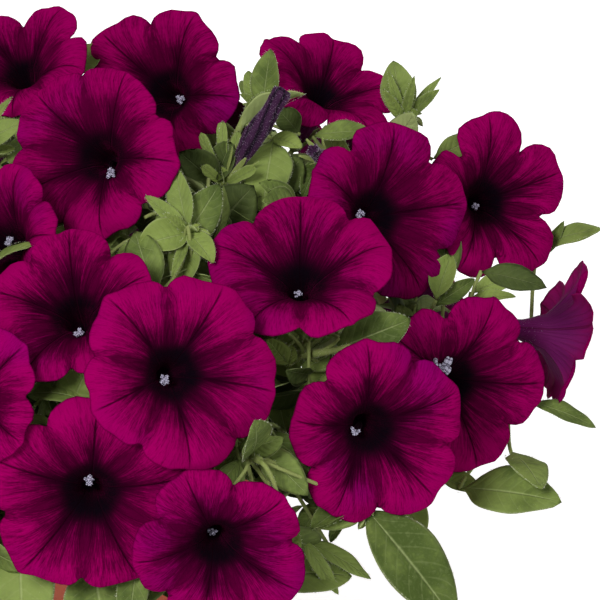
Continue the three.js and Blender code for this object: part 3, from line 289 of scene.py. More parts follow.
# Leaves with places of their own: where their twig ends, the tip, width, turn and lift of each leaf, for
# some a given darkness, which paints how lit and shaded they look, and whether they are as blunt as sepals
SPRIGS = table(
    "to leaves tone blunt",
    # Shoot at the top of stem_01
    ((26, -51, 201), [
        ((21, -34, 219), 11, -30, 40), ((10, -45, 209), 6, -10, 50), ((8, -59, 199), 14, -10, 40),
        ((-2, -47, 188), 11, 0, 40), ((35, -65, 195), 9, 20, 30), ((20, -69, 191), 4, 0, 20),
        ((23, -62, 184), 12, 0, 50), ((17, -54, 210), 4, -20, 50),
    ], 0.2),
    # Shoot at the top of stem_03
    ((52, 32, 214), [
        ((55, 40, 237), 12, -20, 15), ((46, 48, 225), 7, -20, 30), ((43, 50, 220), 5, -20, 40),
        ((43, 29, 223), 4, 0, 40), ((44, 24, 221), 3, 0, 40), ((62, 46, 222), 9, 10, 30),
    ], 0.6),
    # Broad leaf under bud_01
    ((56, 18, 209), [((52, -18, 198), 19, 0, 50), ((67, 11, 208), 8, 10, 50)], 0.05),
    # Between bloom_01 and bloom_03
    ((-10, 84, 202), [((-12, 82, 223), 12, 0, 30)]),
    # Beside bloom_02
    ((-56, 10, 209), [
        ((-37, 8, 220), 11, -10, 40), ((-37, -12, 196), 9, -10, 40), ((-41, 13, 207), 6, -10, 40),
        ((-43, 29, 222), 4, -10, 40),
    ], 0.3),
    # Between bloom_05 and bloom_06
    ((117, 39, 192), [((136, 48, 198), 10, 10, 40)]),
    # Behind bloom_06
    ((160, 52, 149), [((183, 31, 166), 10, 20, 50), ((169, 44, 164), 6, 20, 40)]),
    # Shoot at the top of stem_04
    ((106, 53, 203), [
        ((102, 59, 225), 15, 0, 20), ((121, 62, 217), 4, 0, 40), ((120, 54, 215), 5, 0, 40),
        ((98, 49, 217), 5, -10, 30), ((100, 55, 222), 4, 0, 30), ((110, 51, 222), 4, 0, 30),
        ((112, 47, 208), 7, 20, 40),
    ], 0.3),
    # Below bloom_08
    ((153, -18, 116), [((179, -16, 112), 9, 20, 60)]),
    # Below bloom_07
    ((126, -45, 93), [((163, -63, 97), 22, 25, 50)], 0.35),
    ((146, -29, 100), [((155, -66, 104), 15, 20, 40)], 0.15),
    # Below bloom_15
    ((88, -89, 110), [
        ((122, -108, 76), 26, 15, 45), ((70, -104, 108), 10, -10, 50), ((77, -90, 95), 5, 0, 50),
    ], 1.0),
    ((52, -104, 89), [((85, -97, 85), 20, 0, 60)], 0.25),
    ((67, -95, 99), [((92, -94, 82), 8, 60, 20), ((80, -102, 80), 6, 0, 30)]),
    ((101, -70, 106), [((111, -80, 92), 12, 20, 50)]),
    ((119, -36, 93), [((134, -45, 91), 10, 10, 60)]),
    # Between bloom_05, bloom_06 and bloom_07
    ((131, 1, 153), [((149, 7, 157), 8, 10, 50), ((148, -3, 153), 5, 10, 50)]),
    ((117, -13, 156), [((123, 0, 169), 11, -10, 30), ((132, -6, 162), 7, 10, 30)]),
    # Between bloom_04, bloom_05 and bloom_13
    ((71, 28, 206), [((93, 23, 210), 10, 0, 60)]),
    ((73, 15, 202), [((67, -4, 194), 8, 0, 50)]),
    # Between bloom_13 and bloom_15
    ((97, -38, 154), [((66, -67, 153), 14, 0, 55)], 0.6),
    ((77, -43, 157), [((98, -42, 155), 9, 10, 50)]),
    ((77, -58, 149), [((66, -71, 145), 12, 0, 50)]),
    ((62, -68, 156), [((54, -68, 167), 9, -20, 40), ((63, -67, 164), 5, 10, 40)]),
    # Between bloom_14 and bloom_15
    ((54, -52, 153), [((61, -75, 132), 16, 0, 30), ((65, -53, 141), 14, 10, 40)]),
    ((52, -90, 142), [
        ((78, -104, 121), 12, -20, 40), ((46, -102, 139), 8, 0, 40), ((53, -106, 137), 5, 0, 40),
    ]),
    ((24, -110, 133), [((42, -110, 136), 7, 0, 50)]),
    ((63, -112, 99), [((62, -108, 113), 8, 10, 40)]),
    # Between bloom_10, bloom_14 and bloom_16
    ((-9, -89, 154), [((-24, -91, 159), 14, 0, 50)]),
    # Between bloom_02, bloom_10 and bloom_11
    ((-4, -34, 196), [((-31, -37, 199), 7, 0, 50)]),
    # Hanging over the pot
    ((-34, -105, 109), [((-32, -129, 73), 26, -10, 25)], 0.0),
    ((-8, -113, 103), [((-2, -131, 72), 27, -4, 25)], 0.8),
    ((9, -119, 109), [((5, -136, 81), 12, -4, 25)]),
    # Long sepals of bud_01
    ((38, -1, 197), [
        ((29, 3, 218), 4, -20, 40), ((37, 14, 218), 5, -10, 30), ((29, -6, 208), 5, 0, 40),
        ((43, 14, 214), 4, 0, 30), ((50, -6, 209), 5, 10, 40),
    ], 0.0, True),
)

# How dark the painted shade of some single leaves is, by their stem and their number on it
LEAF_PAINTED_SHADES = {("stem_06", 9): 1.0}


# Directions, places and curves

def mix(a, b, share):
    return a + (b - a) * share


def unit(v):
    return v / np.linalg.norm(v)


def units(rows):
    return rows / np.linalg.norm(rows, axis=1)[:, None]


def from_middle(middle, axes, *steps):
    """Places given by their steps along three axes from a middle"""
    return middle + np.stack(np.broadcast_arrays(*steps), -1) @ np.array(axes)


def seeded_draws(seed):
    """The same draws on every run"""
    state = seed
    while True:
        state = (state * 16807) % 2147483647
        yield state / 2147483647


def heading(turn, lift):
    """A direction: turn is from the front towards +X, lift is above the horizon, in degrees."""
    t, l = radians(turn), radians(lift)
    return np.array([sin(t) * cos(l), -cos(t) * cos(l), sin(l)])


def spot(around, out, up):
    """A place given round the pot's axis"""
    place = heading(around, 0) * out
    place[2] = up
    return place


class Curve:
    """A curve through lines and bends, each given by its corners"""

    def __init__(self, *parts):
        self.parts = [np.array(part, float) for part in parts]
        share = np.linspace(0, 1, 201)
        runs = [self.on_part(part, share) for part in self.parts]
        self.places = np.concatenate([runs[0]] + [run[1:] for run in runs[1:]])
        steps = np.linalg.norm(np.diff(self.places, axis=0), axis=1)
        self.lengths = np.concatenate([[0], np.cumsum(steps)])

    @staticmethod
    def on_part(corners, share):
        s = np.asarray(share, float)[..., None]
        if len(corners) == 2:
            return corners[0] * (1 - s) + corners[1] * s
        a, b, c, d = corners
        return (1 - s) ** 3 * a + 3 * s * (1 - s) ** 2 * b + 3 * s * s * (1 - s) * c + s ** 3 * d

    def point(self, share):
        """A place on the last part"""
        return self.on_part(self.parts[-1], share)

    def tangent(self, share):
        a, b, c, d = self.parts[-1]
        s = share
        return unit((1 - s) ** 2 * (b - a) + 2 * s * (1 - s) * (c - b) + s * s * (d - c))

    def at(self, shares):
        """Places at shares of the whole length"""
        wanted = np.asarray(shares, float) * self.lengths[-1]
        return np.stack([np.interp(wanted, self.lengths, self.places[:, i]) for i in range(3)], -1)

    def spaced(self, steps):
        return self.at(np.linspace(0, 1, steps + 1))

    def nearest(self, steps, place):
        """The place nearest to another on the line through evenly spaced points"""
        corners = self.spaced(steps)
        starts, runs = corners[:-1], np.diff(corners, axis=0)
        along = np.clip(((place - starts) * runs).sum(1) / (runs * runs).sum(1), 0, 1)
        feet = starts + runs * along[:, None]
        return feet[np.argmin(np.linalg.norm(feet - place, axis=1))]


def bloom_axes(flower):
    """Right and up as a viewer of the flower sees them, and out towards the viewer"""
    out = heading(flower["turn"], flower["lift"])
    right = unit(np.cross(UP, out))
    return right, np.cross(out, right), out


def in_dome(direction, depth):
    """A place in the plant's dome, or on it where the depth is 1"""
    return direction * DOME_SIZE * depth + UP * DOME_FOOT


def middle_of(flower):
    return spot(flower["around"], flower["out"], flower["up"])


def calyx_spot(flower):
    """Where a bloom or bud sits in its calyx"""
    out = heading(flower["turn"], flower["lift"])
    return middle_of(flower) - out * flower.get("length", COROLLA_LENGTH)


def stem_bend(stem):
    """The stem above its straight foot"""
    start = spot(*stem["hole"], SOIL_TOP + STRAIGHT_ABOVE_SOIL)
    return Curve([start, start + UP * 30, stem["via"], stem["tip"]])


def stem_route(stem):
    foot = spot(*stem["hole"], SOIL_TOP - HOLE_DEPTH + GAP)
    bend = stem_bend(stem).parts[0]
    return Curve([foot, bend[0]], bend)


def stem_point(stem, along):
    return stem_route(stem).nearest(STEM_STEPS, stem_bend(stem).point(along))


# How far a stalk or twig swings aside and up: the CAD model took the first that stays clear of the rest
STALK_SWINGS = [
    (0, 0), (0, 10), (10, 0), (-10, 0), (0, -10), (14, 10), (-14, 10), (0, 20), (20, 0), (-20, 0),
    (0, -20), (28, 10), (-28, 10), (28, -10), (-28, -10),
]


def stalk_curve(stem, flower, swing):
    start, end = stem_point(stem, flower["along"]), calyx_spot(flower)
    reach = np.linalg.norm(end - start)
    out = heading(flower["turn"], flower["lift"])
    shift = unit(np.cross(UP, out)) * swing[0] + UP * swing[1]
    leave = unit(stem_bend(stem).tangent(flower["along"]) + unit(end - start))
    return Curve([start, start + leave * reach * 0.35 + shift, end - out * reach * 0.4 + shift * 0.4, end])


def nearest_stem(place):
    """The stem that passes nearest to a place, where on it, and its direction there"""
    best = None
    for stem in STEMS:
        bend = stem_bend(stem)
        for i in range(TWIG_SPOTS + 1):
            along = mix(LOWEST_TWIG, 1, i / TWIG_SPOTS)
            start = bend.point(along)
            cost = np.linalg.norm(start - place) + HANGING * max(0, start[2] - place[2])
            if best is None or cost < best[0]:
                best = (cost, stem, along, bend.tangent(along))
    _, stem, along, ahead = best
    return stem, stem_point(stem, along), ahead


def twig_curve(start, ahead, place, swing):
    reach = np.linalg.norm(place - start)
    outwards = unit(place - start)
    shift = unit(np.cross(UP, outwards)) * swing[0] + UP * swing[1]
    return Curve([
        start, start + ahead * reach * 0.3 + outwards * reach * 0.1 + shift,
        place - outwards * reach * 0.35 + shift * 0.5, place,
    ])


# Leaves: a folded, drooping blade

def leaf_shape(share):
    """How wide a pointed leaf is at shares of its length"""
    x = np.maximum(0, (np.asarray(share) - 0.08) / 0.92)
    return np.maximum(np.sin(pi * x ** 0.85), 0) ** 0.75


def spoon_shape(share):
    """A narrow leaf or long sepal: widest near its blunt tip"""
    x = np.clip(np.asarray(share, float), 0, 1)
    return np.interp(x, [0, 0.3, 0.55, 0.78], [0.45, 0.6, 0.85, 1]) * np.sqrt(
        np.clip(1 - (np.maximum(0, x - 0.78) / 0.22) ** 2, 0, 1))


def leaf_place(leaf, share, side, above, half=None):
    """Places on a leaf. Side runs from -1 to 1, and above is measured from the blade's middle."""
    share, side, above = np.broadcast_arrays(share, side, above)
    bend, length = max(leaf["droop"], 1e-3), leaf["length"]
    angle = bend * share
    if half is None:
        half = np.maximum(leaf["width"] / 2 * leaf_shape(share), np.where(share < 0.5, 1.1, 0))
    col = lambda values: np.asarray(values)[..., None]
    normal = leaf["face"] * col(np.cos(angle)) + leaf["along"] * col(np.sin(angle))
    return (
        leaf["root"]
        + leaf["along"] * col(length * np.sin(angle) / bend)
        - leaf["face"] * col(length * (1 - np.cos(angle)) / bend)
        + leaf["across"] * col(side * half * cos(leaf["fold"]))
        + normal * col(np.abs(side) * half * sin(leaf["fold"]) + above)
    )


def leaf_between(root, tip, width, facing, droop, fold):
    """A leaf whose root and tip are given"""
    chord = tip - root
    length = np.linalg.norm(chord) * droop / 2 / sin(droop / 2)
    chord = unit(chord)
    above = unit(facing - chord * facing.dot(chord))
    along = chord * cos(droop / 2) + above * sin(droop / 2)
    face = above * cos(droop / 2) - chord * sin(droop / 2)
    return dict(root=root, along=along, face=face, across=np.cross(along, face),
                length=length, width=width, droop=droop, fold=fold)


def leaf_at(root, ahead, spin, opening, length, width, droop, fold):
    """A leaf that leaves a stem with a direction ahead, turned round it and opened away from it"""
    side = unit(np.cross(ahead, [1.0, 0, 0] if abs(ahead[2]) > 0.9 else UP))
    turn, wide = radians(spin), radians(opening)
    radial = side * cos(turn) + np.cross(ahead, side) * sin(turn)
    direction = ahead * cos(wide) + radial * sin(wide)
    outwards = unit(np.array([root[0], root[1], 0]))
    face = ahead * sin(wide) - radial * cos(wide) + UP * 0.7 + outwards * 0.5
    face = unit(face - direction * face.dot(direction))
    return dict(root=root, along=direction, face=face, across=np.cross(direction, face),
                length=length, width=width, droop=droop, fold=fold)


# What the CAD model tried for each leaf to keep it clear: shifts of its tip, or turns, sizes and openings
TIP_SHIFTS = [
    np.array(shift, float) for far in (0, 4, 8, 12)
    for shift in ((0, 0, far), (0, 0, -far), (0, far, 0), (0, -far, 0), (far, 0, 0), (-far, 0, 0))
]
SPINS = [0, 24, -24, 48, -48, 75, -75, 105, -105, 140, -140, 175]
SIZES = [1, 0.86, 0.74, 0.62]
OPENINGS = [0, 14, -14]


# The frame says which of its tries each stalk, twig and leaf of the CAD model took.

class Corners:
    """The corners of a CAD node, to look up which places it has"""

    def __init__(self, node):
        self.places = np.array([v.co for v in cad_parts[node].data.vertices]) / MM
        self.tree = KDTree(len(self.places))
        for i, place in enumerate(self.places):
            self.tree.insert(place, i)
        self.tree.balance()

    def gap(self, place):
        return self.tree.find(place)[2]

    def rod_fit(self, curve, radius, steps):
        """How many corners of a rod along a curve are there, up to three at each place between its ends"""
        found = 0
        for place in curve.spaced(steps)[1:-1]:
            near = self.tree.find_range(place, radius + ROD_TOUCH)
            found += min(3, sum(distance > radius - ROD_TOUCH for _, _, distance in near))
        return found

    def taken(self, tries):
        """The leaf among the tries whose tip is there, or nothing"""
        best, least = None, TIP_TOUCH
        for leaf in tries:
            gap = self.gap(leaf_place(leaf, 1, 0, 0))
            if gap < least:
                best, least = leaf, gap
        return best


def best_fit(tries, corners, radius, steps):
    """The rod among the tries of which the CAD model has most corners, and how many it has"""
    fits = [corners.rod_fit(curve, radius, steps) for curve in tries]
    return tries[int(np.argmax(fits))], max(fits)


def twig_to(place, stems):
    """The twig that ends at a place, how well it fits the CAD model, and the parts of its stem"""
    stem, start, ahead = nearest_stem(place)
    parts = stems[stem["name"]]
    tries = [twig_curve(start, ahead, place, swing) for swing in STALK_SWINGS]
    return *best_fit(tries, parts["corners"], TWIG_RADIUS, TWIG_STEPS), parts


def grow_leaf(parts, root, ahead, spin, opening, length, width, droop, fold):
    """Adds a leaf of a stem or shoot, if the CAD model took one of its tries"""
    leaf = parts["corners"].taken([
        leaf_at(root, ahead, spin + turn, opening + wider, length * size, width * size, droop, fold)
        for size in SIZES for wider in OPENINGS for turn in SPINS
    ])
    if leaf:
        parts["leaves"].append(leaf)


def grow_stalks(stems):
    for flower in BLOOMS + BUDS:
        stem = STEMS[flower["stem"] - 1]
        parts = stems[stem["name"]]
        tries = [stalk_curve(stem, flower, swing) for swing in STALK_SWINGS]
        curve, _ = best_fit(tries, parts["corners"], STALK_RADIUS, STALK_STEPS)
        parts["stalks"].append((curve, flower, sepal_turn(parts["corners"], flower)))


def grow_sprigs(stems):
    """The twigs and leaves that have places of their own"""
    for index, sprig in enumerate(SPRIGS):
        draw = seeded_draws(7 + 13 * index)
        root = np.array(sprig["to"], float)
        curve, _, parts = twig_to(root, stems)
        parts["twigs"].append(curve)
        seat = curve.nearest(TWIG_STEPS, curve.point(LAST_SEAT))
        if len(sprig["leaves"]) > 2:
            parts["tips"].append((root, curve.tangent(1)))
        looks = {key: sprig[key] for key in ("tone", "blunt") if key in sprig}
        for i, (tip, width, turn, lift) in enumerate(sprig["leaves"]):
            droop, fold = mix(*LEAF_DROOPS, next(draw)), mix(*LEAF_FOLDS, next(draw))
            foot = seat if i else root
            leaf = parts["corners"].taken([
                leaf_between(foot, np.array(tip) + shift, width, heading(turn, lift), droop, fold)
                for shift in TIP_SHIFTS
            ])
            if leaf:
                parts["leaves"].append(leaf | looks)


def grow_stem_leaves(stems):
    for index, stem in enumerate(STEMS):
        draw = seeded_draws(101 + 37 * index)
        first_spin = 360 * next(draw)
        for i in range(stem["leaves"]):
            share = i / (stem["leaves"] - 1)
            size = sin(pi * mix(0.42, 0.9, share))
            length = mix(*LEAF_LENGTHS, size) * mix(*LENGTH_VARIES, next(draw))
            along = mix(LOWEST_LEAF, HIGHEST_LEAF, share ** 0.8)
            spin = first_spin + GOLDEN_ANGLE * i + 30 * next(draw)
            width = length * mix(*LEAF_SLIMNESS, next(draw))
            grow_leaf(
                stems[stem["name"]], stem_point(stem, along), stem_bend(stem).tangent(along), spin,
                mix(*LEAF_OPENINGS, share), length, width, mix(*LEAF_DROOPS, next(draw)),
                mix(*LEAF_FOLDS, next(draw)),
            )


def grow_shoots(stems):
    """The leafy shoots over the dome, apart from the side where the leaves have places of their own"""
    for index in range(SHOOT_SPOTS):
        around = (GOLDEN_ANGLE * index + 180) % 360 - 180
        if SPRIGS_FROM < around < SPRIGS_TO:
            continue
        height = mix(sin(radians(SHOOT_LOWEST)), sin(radians(SHOOT_HIGHEST)), (index + 0.5) / SHOOT_SPOTS)
        direction = heading(GOLDEN_ANGLE * index, degrees(asin(height)))
        places = [in_dome(direction, depth) for depth in SHOOT_DEPTHS]
        found = [(*twig_to(place, stems), place) for place in places]
        curve, fit, parts, place = max(found, key=lambda each: each[1])
        if fit < LEAST_FIT:
            continue
        parts["twigs"].append(curve)
        parts["tips"].append((place, curve.tangent(1)))
        draw = seeded_draws(907 + 61 * index)
        first_spin = 360 * next(draw)
        for i in range(SHOOT_LEAVES):
            share = i / (SHOOT_LEAVES - 1)
            length = mix(*SHOOT_LENGTHS, share) * mix(*LENGTH_VARIES, next(draw))
            width = length * mix(*LEAF_SLIMNESS, next(draw))
            along = mix(*SHOOT_PLACES, share)
            root = curve.nearest(TWIG_STEPS, curve.point(along)) if i else place
            grow_leaf(
                parts, root, curve.tangent(along), first_spin + GOLDEN_ANGLE * i,
                mix(*SHOOT_OPENINGS, share), length, width, mix(*SHOOT_DROOPS, next(draw)),
                mix(*SHOOT_FOLDS, next(draw)),
            )


def stem_parts():
    """The parts of each leafy stem: its stalks with their flowers, its twigs, their tips, and its leaves"""
    stems = {}
    for stem in STEMS:
        corners = Corners(stem["name"])
        stems[stem["name"]] = dict(stem=stem, corners=corners, stalks=[], twigs=[], tips=[], leaves=[])
    for grow in (grow_stalks, grow_sprigs, grow_stem_leaves, grow_shoots):
        grow(stems)
    for (name, index), tone in LEAF_PAINTED_SHADES.items():
        stems[name]["leaves"][index]["tone"] = tone
    return stems


def sepal_turn(corners, flower):
    """How far a calyx is turned about its flower's axis, from the tips of its sepals in the frame"""
    right, up, out = bloom_axes(flower)
    apart = corners.places - calyx_spot(flower)
    height, across = apart @ out, np.stack([apart @ right, apart @ up], 1)
    aside = abs(np.linalg.norm(across, axis=1) - SEPAL_SPREAD)
    tips = (abs(height - SEPAL_LENGTH) < ROD_TOUCH) & (aside < ROD_TOUCH)
    if not tips.any():
        return 0.0
    return atan2(*across[tips][0][::-1])


# Meshes

def kept_inside(places):
    """Eases what would stand out of the CAD model's box back into it"""
    low, high = (np.array(corner) / MM for corner in CAD_BOX)
    soft = 0.4
    ease = lambda room: soft * np.logaddexp(0, room / soft)
    places = high - ease(high - places)
    raised = low + ease(places - low)
    # The pot stands on the ground as it is
    raised[:, 2] = places[:, 2]
    return raised


class Skin:
    """Closed bodies that are gathered into one mesh, with values on their corners"""

    def __init__(self):
        self.places, self.quads, self.tris, self.values = [], [], [], {}
        self.quad_maps, self.tri_maps, self.quad_kinds, self.tri_kinds = [], [], [], []
        self.count = 0

    def add(self, places, quads, tris, kind=0, quad_map=None, tri_map=None, **values):
        """Adds a body. Kind is its material's number, or those of its quads and of its triangles."""
        places = np.asarray(places, float).reshape(-1, 3)
        total = len(places)
        self.quads.append(quads + self.count)
        self.tris.append(tris + self.count)
        kinds = kind if isinstance(kind, tuple) else (kind, kind)
        self.quad_kinds.append(np.broadcast_to(kinds[0], len(quads)))
        self.tri_kinds.append(np.broadcast_to(kinds[1], len(tris)))
        self.quad_maps.append(np.zeros((len(quads), 4, 2)) if quad_map is None else quad_map)
        self.tri_maps.append(np.zeros((len(tris), 3, 2)) if tri_map is None else tri_map)
        for name in set(self.values) | set(values):
            kept = self.values.setdefault(name, [np.zeros(self.count)] if self.count else [])
            kept.append(np.broadcast_to(values.get(name, 0.0), total))
        self.places.append(places)
        self.count += total

    def finish(self, name, materials, slot, *nodes):
        """Makes the piece that stands for these CAD nodes"""
        places = kept_inside(np.concatenate(self.places)) * MM
        quads, tris = np.concatenate(self.quads), np.concatenate(self.tris)
        mesh = bpy.data.meshes.new(name)
        mesh.from_pydata(places, [], quads.tolist() + tris.tolist())
        kinds = np.concatenate(self.quad_kinds + self.tri_kinds).astype(np.int32)
        mesh.polygons.foreach_set("material_index", kinds)
        for key, parts in self.values.items():
            data = mesh.attributes.new(key, "FLOAT", "POINT").data
            data.foreach_set("value", np.concatenate(parts).astype(np.float32))
        flat = np.concatenate([np.concatenate(maps).ravel() for maps in (self.quad_maps, self.tri_maps)])
        if flat.any():
            mesh.uv_layers.new(name="Petal").uv.foreach_set("vector", flat.astype(np.float32))
        mesh.shade_smooth()
        mesh.update()
        for material in materials:
            mesh.materials.append(material)
        settle(put_in_scene(name, mesh), slot, *nodes)


def put_in_scene(name, data):
    """An object in the scene"""
    made = bpy.data.objects.new(name, data)
    bpy.context.scene.collection.objects.link(made)
    return made


def settle(piece, slot, *nodes):
    """Lets a piece ride, and lets it stand for its CAD nodes"""
    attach(piece, "root")
    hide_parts(*nodes)


BALLS = {}


def ball(sides, rows):
    """A closed ball: for each corner its angle and its share of the way from pole to pole, and its faces"""
    if (sides, rows) not in BALLS:
        shape = bmesh.new()
        bmesh.ops.create_uvsphere(shape, u_segments=sides, v_segments=rows, radius=1)
        shape.verts.ensure_lookup_table()
        places = np.array([v.co for v in shape.verts])
        faces = sorted([v.index for v in face.verts] for face in shape.faces)
        shape.free()
        angle = np.arctan2(places[:, 1], places[:, 0]) % (2 * pi)
        share = 1 - np.arccos(np.clip(places[:, 2], -1, 1)) / pi
        quads = np.array([face for face in faces if len(face) == 4])
        tris = np.array([face for face in faces if len(face) == 3])
        BALLS[sides, rows] = angle, share, quads, tris
    return BALLS[sides, rows]


def frames_along(places):
    """Two directions across a path at each of its places, turned as little as can be on the way"""
    ahead = units(np.gradient(places, axis=0))
    first = np.cross(ahead[0], UP if abs(ahead[0][2]) < 0.9 else [1.0, 0, 0])
    sides = [unit(first)]
    for direction in ahead[1:]:
        side = sides[-1] - direction * sides[-1].dot(direction)
        sides.append(unit(side))
    sides = np.array(sides)
    return sides, np.cross(ahead, sides), ahead


def add_rod(skin, path, radii, sides, **values):
    """A closed rod round a path: a ball that is drawn out along it"""
    rows = len(path) + 1
    angle, share, quads, tris = ball(sides, rows)
    row = np.rint(share * rows).astype(int)
    across, over, ahead = frames_along(path)
    on = np.clip(row - 1, 0, len(path) - 1)
    wide = radii[on] * ((row > 0) & (row < rows))
    tip = np.where(row == 0, -ROD_DOME, np.where(row == rows, ROD_DOME, 0)) * radii[on]
    places = (
        path[on] + across[on] * (wide * np.cos(angle))[:, None]
        + over[on] * (wide * np.sin(angle))[:, None] + ahead[on] * tip[:, None]
    )
    skin.add(places, quads, tris, **values)


def add_hairs(skin, roots, directions, length, radius, kind):
    """Fine hairs, each a slim cone of four faces"""
    if not len(roots):
        return
    shape = bmesh.new()
    bmesh.ops.create_cone(shape, segments=3, radius1=1, radius2=0, depth=1, cap_ends=True)
    bmesh.ops.remove_doubles(shape, verts=shape.verts, dist=1e-6)
    cone = np.array([v.co for v in shape.verts])
    faces = np.array([[v.index for v in face.verts] for face in shape.faces])
    shape.free()
    directions = units(directions)
    helper = np.where(abs(directions[:, 2:]) < 0.9, UP, [1.0, 0, 0])
    across = units(np.cross(helper, directions))
    over = np.cross(directions, across)
    length = np.broadcast_to(length, len(roots))[:, None, None]
    places = (
        roots[:, None] + across[:, None] * cone[None, :, :1] * radius
        + over[:, None] * cone[None, :, 1:2] * radius
        + directions[:, None] * (cone[None, :, 2:] + 0.4) * length
    )
    tris = (faces[None] + np.arange(len(roots))[:, None, None] * len(cone)).reshape(-1, 3)
    skin.add(places, np.zeros((0, 4), int), tris, kind=kind)


# Shader maths

class Flow:
    """A value that runs through a material's nodes. Sums and products with it add nodes."""

    def __init__(self, paint, socket):
        self.paint, self.socket = paint, socket

    def maths(self, operation, *others):
        sockets = dict(enumerate((self, *others)))
        return self.paint.flow("ShaderNodeMath", 0, {"operation": operation}, sockets)

    def __add__(self, other):
        return self.maths("ADD", other)

    def __sub__(self, other):
        return self.maths("SUBTRACT", other)

    def __rsub__(self, other):
        return self.paint.flow("ShaderNodeMath", 0, {"operation": "SUBTRACT"}, {0: other, 1: self})

    def __mul__(self, other):
        return self.maths("MULTIPLY", other)

    __radd__, __rmul__ = __add__, __mul__

    def __pow__(self, other):
        return self.maths("POWER", other)

    def __abs__(self):
        return self.maths("ABSOLUTE")

    def fraction(self):
        return self.maths("FRACT")

    def ease(self, low, high):
        """0 up to low, 1 from high, and a smooth way between. Low may be above high."""
        if low > high:
            return 1 - self.ease(high, low)
        return self.paint.flow(
            "ShaderNodeMapRange", 0, {"interpolation_type": "SMOOTHSTEP"},
            {"Value": self, "From Min": low, "From Max": high},
        )

    def line(self, width):
        """1 where the value is 0, falling smoothly to 0 at this width to each side"""
        return abs(self).ease(width, 0)

    def stripes(self, number, width):
        """Thin lines, this many for each unit of the value"""
        return ((self * number + 0.5).fraction() - 0.5).line(width)


class Paint:
    """A material under a plain name, with one shader"""

    def __init__(self, name):
        self.material = bpy.data.materials.new(name)
        self.material.use_nodes = True
        self.tree = self.material.node_tree
        self.tree.nodes.clear()
        self.shader = self.node("ShaderNodeBsdfPrincipled")
        output = self.tree.nodes.new("ShaderNodeOutputMaterial")
        self.tree.links.new(self.shader.outputs[0], output.inputs[0])

    def node(self, kind, settings=None, sockets=None):
        made = self.tree.nodes.new(kind)
        for key, value in (settings or {}).items():
            setattr(made, key, value)
        self.feed(made, sockets or {})
        return made

    def feed(self, node, sockets):
        for key, value in sockets.items():
            if isinstance(value, Flow):
                self.tree.links.new(value.socket, node.inputs[key])
            else:
                node.inputs[key].default_value = value

    def flow(self, kind, output, settings=None, sockets=None):
        return Flow(self, self.node(kind, settings, sockets).outputs[output])

    def value(self, name):
        """A value kept on the mesh"""
        return self.flow("ShaderNodeAttribute", "Fac", {"attribute_name": name})

    def noise(self, scale, detail, stretch=None, where=None):
        """Noise from 0 to 1 in the object's own place, or in another place"""
        if where is None:
            where = self.flow("ShaderNodeTexCoord", "Object")
        if stretch:
            where = self.flow("ShaderNodeMapping", 0, {}, {"Vector": where, "Scale": stretch})
        return self.flow("ShaderNodeTexNoise", 0, {}, {"Vector": where, "Scale": scale, "Detail": detail})

    def place(self, x, y, z):
        return self.flow("ShaderNodeCombineXYZ", 0, {}, {0: x, 1: y, 2: z})

    def blend(self, share, first, second):
        """A colour between two colours"""
        return self.flow("ShaderNodeMix", 2, {"data_type": "RGBA"}, {0: share, 6: first, 7: second})

    def bump(self, height, distance, strength):
        sockets = {"Height": height, "Distance": distance, "Strength": strength}
        return self.flow("ShaderNodeBump", 0, {}, sockets)

    def petal_spot(self):
        """How far round the bloom a place is, in lobes, and its share of the way to the margin"""
        mapped = self.flow("ShaderNodeUVMap", 0, {"uv_map": "Petal"})
        apart = self.node("ShaderNodeSeparateXYZ", {}, {0: mapped})
        return Flow(self, apart.outputs[0]), Flow(self, apart.outputs[1])

    def finish(self, **sockets):
        self.feed(self.shader, {key.replace("_", " "): value for key, value in sockets.items()})
        return self.material


def colour(red, green, blue):
    """A colour from screen values up to 255"""
    level = lambda v: v / 12.92 if v <= 0.04045 else ((v + 0.055) / 1.055) ** 2.4
    return tuple(level(v / 255) for v in (red, green, blue))


def tint(shade, strength=1.0):
    """A colour with the four numbers that a shader wants, as it is or weaker"""
    return (*(v * strength for v in shade), 1.0)


# Painted shade for the gaps between lumps of pollen on the anthers, and their darker specks
GAP_SHADE_AND_SPECKS = colour(58, 46, 72)
DRY_SKIN = colour(112, 92, 96)
TUBE_HAIR = colour(190, 178, 196)
SCUFFED = colour(196, 120, 92)


# Sizes and colours

def colour_property(name, description, default):
    return bpy.props.FloatVectorProperty(
        name=name, description=description, default=default, size=3, subtype="COLOR", min=0, max=1,
    )


def length_property(name, description, default):
    return bpy.props.FloatProperty(
        name=name, description=description, default=default * MM, min=0, max=3 * MM,
        subtype="DISTANCE", unit="LENGTH",
    )


def number_property(name, description, default, least, most):
    return bpy.props.IntProperty(name=name, description=description, default=default, min=least, max=most)


class PetuniaPetals(bpy.types.PropertyGroup):
    bright: colour_property("Bright", "Colour of the open lobes", colour(143, 0, 82))
    violet: colour_property("Violet", "Cooler colour of parts of the lobes", colour(120, 0, 96))
    deep: colour_property("Deep", "Colour between the veins", colour(72, 0, 40))
    vein: colour_property("Vein", "Colour of the veins and the dark middle", colour(36, 1, 22))
    throat: colour_property("Throat", "Colour of the throat", colour(12, 6, 14))
    under: colour_property("Underside", "Colour of the underside and the tube", colour(98, 14, 82))
    anther: colour_property("Anthers", "Colour of the anthers", colour(182, 178, 200))
    ruffle: length_property("Ruffle", "How far the margin of a bloom waves up and down", 0.9)
    columns: number_property("Columns", "Faces round a bloom", 90, 20, 200)


class PetuniaBuds(bpy.types.PropertyGroup):
    skin: colour_property("Skin", "Colour of the closed blooms", colour(60, 30, 60))
    # The fold colour is painted shade in the creases between the pleats
    fold: colour_property("Fold", "Colour in the folds", colour(24, 8, 28))


